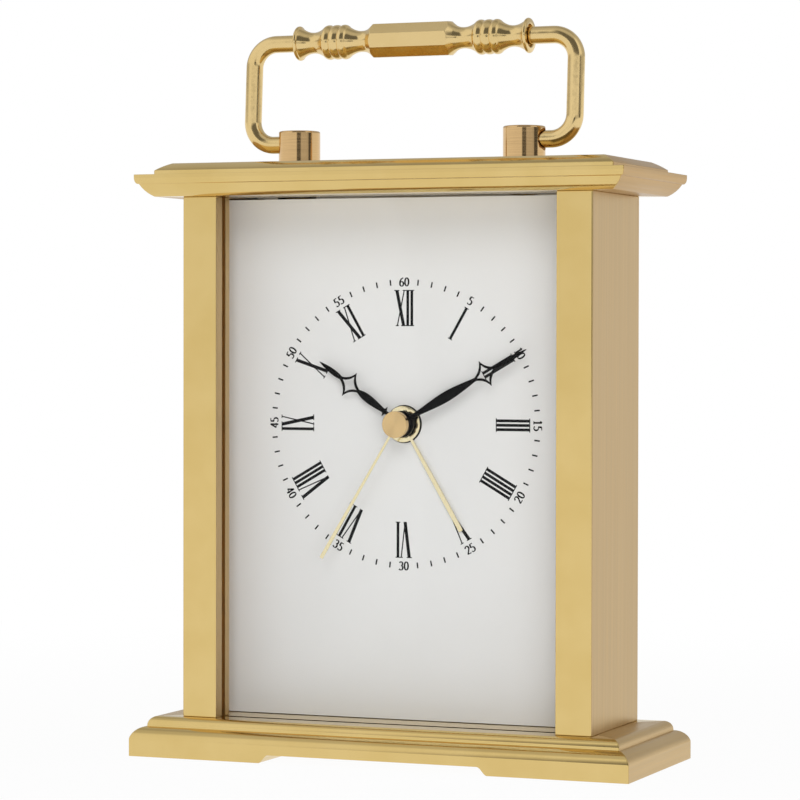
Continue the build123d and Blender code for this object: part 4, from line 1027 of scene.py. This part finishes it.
PEN_WIDE, PEN_NARROW = 0.19, 0.10


def pen_line(points):
    """Quads along a line, wide where it runs upright and narrow where it runs level, as a pen draws."""
    quads = []
    for (x0, y0), (x1, y1) in zip(points, points[1:]):
        length = hypot(x1 - x0, y1 - y0)
        nx, ny = (y1 - y0) / length, (x0 - x1) / length
        half = hypot(PEN_WIDE * nx, PEN_NARROW * ny) / 2
        ex, ey = (x1 - x0) / length * 0.012, (y1 - y0) / length * 0.012
        quads.append([(x0 - ex - nx * half, y0 - ey - ny * half), (x1 + ex - nx * half, y1 + ey - ny * half),
                      (x1 + ex + nx * half, y1 + ey + ny * half), (x0 - ex + nx * half, y0 - ey + ny * half)])
    return quads


def written(text):
    """Pen strokes of a number, centred, in units of its height."""
    width = FIGURE_ADVANCE * (len(text) - 1) + FIGURE_WIDTH
    quads = []
    for place, figure in enumerate(text):
        shift = place * FIGURE_ADVANCE - width / 2
        for line in FIGURES[figure]:
            quads += [[(x + shift, y - 0.5) for x, y in quad] for quad in pen_line(line)]
    return quads


def build_minute_numbers(ink):
    """5 to 60, tops outward on the upper half and inward on the lower half."""
    polygons = []
    for minute in range(5, 65, 5):
        size = -MINUTE_NUMBER_H if 20 <= minute <= 40 else MINUTE_NUMBER_H
        for quad in written(str(minute)):
            corners = [on_dial(x * size, MINUTE_NUMBER_R + y * size, 6 * minute) for x, y in quad]
            polygons.append(corners)
    print_piece("dial_minute_numbers", polygons, ink)


# ---------------- CAD nodes that stay
def dress(node, material, edge=0.0, angle=40, segments=2):
    """Give a CAD node its material, and a small rounding where edge is its width."""
    piece = frame["nodes"][node]
    piece.data.materials.clear()
    piece.data.materials.append(material)
    if edge:
        weld = piece.modifiers.new("weld", "WELD")
        weld.merge_threshold = 0.0005 * MM
        ease_edges(piece, edge, angle, segments)
        piece.data.shade_smooth()
        weights = piece.modifiers.new("weights", "WEIGHTED_NORMAL")
        weights.weight = 60


def dress_case():
    frame_metal, plain = frame_brass(), plain_brass()
    steel = metal("steel", (0.62, 0.62, 0.63), (0.50, 0.50, 0.51), 0.3)
    for side in ("left", "right"):
        dress("side_frame_" + side, frame_metal, 0.16)
    dress("rear_door", door_brass(), 0.15)
    dress("door_knob", polished_brass())
    dress("front_glass", float_glass(), 0.1)
    dress("dial_plate", dial_white(), 0.06)
    for node in ("tie_rods", "handle_post_screws", "door_hinge_pins", "door_strike", "movement_screws"):
        dress(node, steel, 0.06)
    dress("dial_studs", plain)
    dress("door_magnet", metal("ferrite", (0.10, 0.10, 0.105), (0.05, 0.05, 0.055), 0.55), 0.12)


def dress_movement():
    black = moulded("black_housing", (0.020, 0.020, 0.022), (0.012, 0.012, 0.013), 0.5)
    dress("movement_front_housing", black, 0.12)
    dress("movement_back_housing", black, 0.12)
    knob = moulded("black_knob", (0.018, 0.018, 0.020), (0.010, 0.010, 0.011), 0.32, 0.12)
    for node in ("time_set_knob", "alarm_set_knob", "alarm_switch"):
        dress(node, knob)
    white = moulded("white_plastic", (0.80, 0.80, 0.76), (0.72, 0.72, 0.67), 0.45, 0.12)
    for node in ("rotor_pinion", "step_wheel", "seconds_wheel", "third_wheel", "centre_wheel",
                 "minute_wheel", "hour_wheel", "alarm_wheel"):
        dress(node, white)
    dress("gear_bridge", metal("bridge_brass", (0.74, 0.58, 0.28), (0.60, 0.46, 0.22), 0.3), 0.08)
    dress("minute_pipe", metal("pipe_metal", (0.78, 0.78, 0.78), (0.62, 0.62, 0.63), 0.25))
    iron = metal("soft_iron", (0.42, 0.42, 0.43), (0.30, 0.30, 0.31), 0.4)
    for node in ("stator", "coil_core"):
        dress(node, iron, 0.05)
    dress("rotor_magnet", metal("ring_magnet", (0.12, 0.12, 0.13), (0.07, 0.07, 0.08), 0.5))
    dress("coil_winding", copper_winding())
    dress("circuit_board", board_green(), 0.05)
    dress("control_chip", moulded("black_resin", (0.012, 0.012, 0.012), (0.006, 0.006, 0.006), 0.25), 0.2)
    can = metal("bright_can", (0.75, 0.75, 0.74), (0.60, 0.60, 0.60), 0.22)
    dress("quartz_crystal", can)
    dress("buzzer", plain_brass())
    spring = metal("contact_strip", (0.74, 0.74, 0.72), (0.60, 0.60, 0.58), 0.2)
    for node in ("battery_contact_positive", "battery_contact_negative", "alarm_spring"):
        dress(node, spring)
    dress("battery", battery_jacket())


def dress_hands():
    black, gold = hand_black(), pale_gold()
    for name, look in (("hour", black), ("minute", black), ("alarm", gold), ("second", gold)):
        dress(name + "_hand", look, 0.05, 50)
    dress("hand_cap", spun_brass())


# ---------------- studio
FLOOR_GLOW = 0.92


def build_floor():
    """Plain pale floor that fades to white away from the object."""
    half = 3000.0
    corners = [(-half, -half, 0), (half, -half, 0), (half, half, 0), (-half, half, 0)]
    floor = new_object("floor", corners, [(0, 1, 2, 3)])
    material, g = new_material("floor_white")
    x, y = g.split(g.position())[:2]
    path = g.node("LightPath")
    seen = path.outputs["Is Camera Ray"]
    reflected = g.maths("MAXIMUM", path.outputs["Is Glossy Ray"], path.outputs["Is Diffuse Ray"])
    lit = g.node("BsdfDiffuse", {}, {"Color": (0.9, 0.9, 0.895)}).outputs[0]
    strength = g.maths("ADD", seen, g.maths("MULTIPLY", reflected, FLOOR_GLOW))
    glow = g.node("Emission", {}, {"Color": (1.0, 1.0, 1.0), "Strength": strength}).outputs[0]
    share = g.maths("MULTIPLY", seen, g.spread(g.distance(x, y), 0.05, 0.35, 0.96, 1.0, True))
    g.surface(mix_shader(g, g.maths("MAXIMUM", share, reflected), lit, glow))
    floor.data.materials.append(material)


# brightness of the light tent by azimuth, at the horizon; nought is towards the viewer, right is positive
HORIZON = [(-180, 0.98), (-100, 0.95), (-60, 0.92), (-26, 0.87), (-16, 0.86), (6, 0.85), (11, 0.08),
           (28, 0.08), (33, 0.56), (72, 0.56), (77, 0.08), (94, 0.08), (99, 0.92), (180, 0.98)]
# brightness by azimuth a little above the horizon
LOW_BAND = [(-180, 0.55), (-75, 0.50), (-45, 0.88), (-20, 0.95), (62, 0.92), (68, 0.16), (80, 0.16),
            (86, 0.50), (140, 0.50), (150, 0.55), (180, 0.55)]
# brightness by elevation: on the left and behind, and in the dark gap in front
ABOVE_OPEN = [(0, 0.95), (25, 0.92), (50, 0.88), (62, 0.60), (90, 0.52)]
ABOVE_GAP = [(0, 0.9), (12, 0.85), (16, 0.16), (50, 0.16), (60, 0.55), (72, 0.62), (90, 0.60)]
GAP_LEFT, GAP_RIGHT, GAP_SOFT = -22.5, 60.0, 5.0
LOW_STARTS, ABOVE_STARTS = (5.0, 7.5), (12.0, 15.0)
BEHIND_FADE, BEHIND_LEVEL = 0.35, 0.6
SKY_COLOUR, SKY_STRENGTH = (0.985, 0.99, 1.0), 0.36


def build_world():
    """White to the camera, a light tent with darker gaps to the metal, an even sky to matt surfaces."""
    world = bpy.data.worlds.new("studio")
    world.use_nodes = True
    bpy.context.scene.world = world
    g = Graph(world.node_tree)
    x, y, z = g.split(g.node("TexCoord").outputs["Generated"])
    azimuth = g.maths("DEGREES", g.maths("ARCTAN2", x, g.maths("MULTIPLY", y, -1.0)))
    elevation = g.maths("DEGREES", g.maths("ARCSINE", z))
    turn = g.spread(azimuth, -180.0, 180.0)
    around = g.ramp(turn, [((a + 180) / 360, b) for a, b in HORIZON])
    low = g.ramp(turn, [((a + 180) / 360, b) for a, b in LOW_BAND])
    up = g.spread(elevation, 0.0, 90.0)
    bright = g.ramp(up, [(e / 90, b) for e, b in ABOVE_OPEN])
    gap = g.ramp(up, [(e / 90, b) for e, b in ABOVE_GAP])
    enters = g.spread(azimuth, GAP_LEFT - GAP_SOFT, GAP_LEFT + GAP_SOFT, 0.0, 1.0, True)
    leaves = g.spread(azimuth, GAP_RIGHT - GAP_SOFT, GAP_RIGHT + GAP_SOFT, 1.0, 0.0, True)
    behind = g.spread(y, 0.0, BEHIND_FADE, 1.0, BEHIND_LEVEL)
    above = g.maths("MULTIPLY", g.blend(g.maths("MULTIPLY", enters, leaves), bright, gap), behind)
    tent = g.blend(g.spread(elevation, *LOW_STARTS, 0.0, 1.0, True), around, low)
    tent = g.blend(g.spread(elevation, *ABOVE_STARTS, 0.0, 1.0, True), tent, above)
    path = g.node("LightPath")
    studio = g.node("Background", {}, {"Color": tent, "Strength": 1.0}).outputs[0]
    sky = g.node("Background", {}, {"Color": SKY_COLOUR, "Strength": SKY_STRENGTH}).outputs[0]
    white = g.node("Background", {}, {"Color": (1.0, 1.0, 1.0), "Strength": 1.0}).outputs[0]
    lighting = mix_shader(g, path.outputs["Is Diffuse Ray"], studio, sky)
    shown = mix_shader(g, path.outputs["Is Camera Ray"], lighting, white)
    out = g.node("OutputWorld")
    g.tree.links.new(shown, out.inputs["Surface"])


LIGHT_TARGET = (0.0, 0.0, 0.07)


def aim(obj, place, target, roll=0.0):
    """Put a lamp or the camera at a place, pointed at a target."""
    obj.location = place
    look = (Vector(target) - Vector(place)).to_track_quat("-Z", "Y")
    obj.rotation_mode = "QUATERNION"
    obj.rotation_quaternion = look @ Matrix.Rotation(radians(roll), 4, "Z").to_quaternion()


def area_light(name, place, size, power):
    """Square lamp aimed at the middle of the object, left out of reflections."""
    data = bpy.data.lights.new(name, "AREA")
    data.shape = "RECTANGLE"
    data.size, data.size_y = size, size
    data.energy = power
    lamp = put(name, data)
    aim(lamp, place, LIGHT_TARGET)
    lamp.visible_camera = False
    lamp.visible_glossy = False


def build_lights():
    area_light("key_light", (0.16, -0.58, 0.50), 0.35, 1.35)
    area_light("fill_light", (0.22, -0.34, 0.04), 0.26, 0.6)


# ---------------- camera
CAMERA_PLACE = (0.25993, -0.64815, 0.09162)
CAMERA_TARGET = (-0.002319, 0.0, 0.078202)
CAMERA_ROLL = 0.098
CAMERA_LENS, SENSOR = 143.83, 36.0


def build_camera():
    data = bpy.data.cameras.new("camera")
    data.lens, data.sensor_width = CAMERA_LENS, SENSOR
    data.clip_start, data.clip_end = 0.01, 50.0
    camera = put("camera", data)
    aim(camera, CAMERA_PLACE, CAMERA_TARGET, CAMERA_ROLL)
    bpy.context.scene.camera = camera
    bpy.context.scene.view_settings.view_transform = "Standard"


# ---------------- build
def build_object():
    dress_case()
    dress_movement()
    dress_hands()
    build_base(moulding_brass("base_brass", BASE_HIGH.x, BASE_HIGH.y, BASE_END))
    # the cap's ends take the darker end brass, which carries painted shade
    build_cap(moulding_brass("cap_brass", CAP_HIGH.x, CAP_HIGH.y, SHADED_CAP_END))
    build_felt(felt())
    build_posts(post_brass())
    handle = handle_brass()
    build_arms(handle)
    build_grip(handle)
    ink = dial_ink()
    build_numerals(ink)
    build_minute_track(ink)
    build_minute_numbers(ink)


build_object()
build_floor()
build_world()
build_lights()
build_camera()
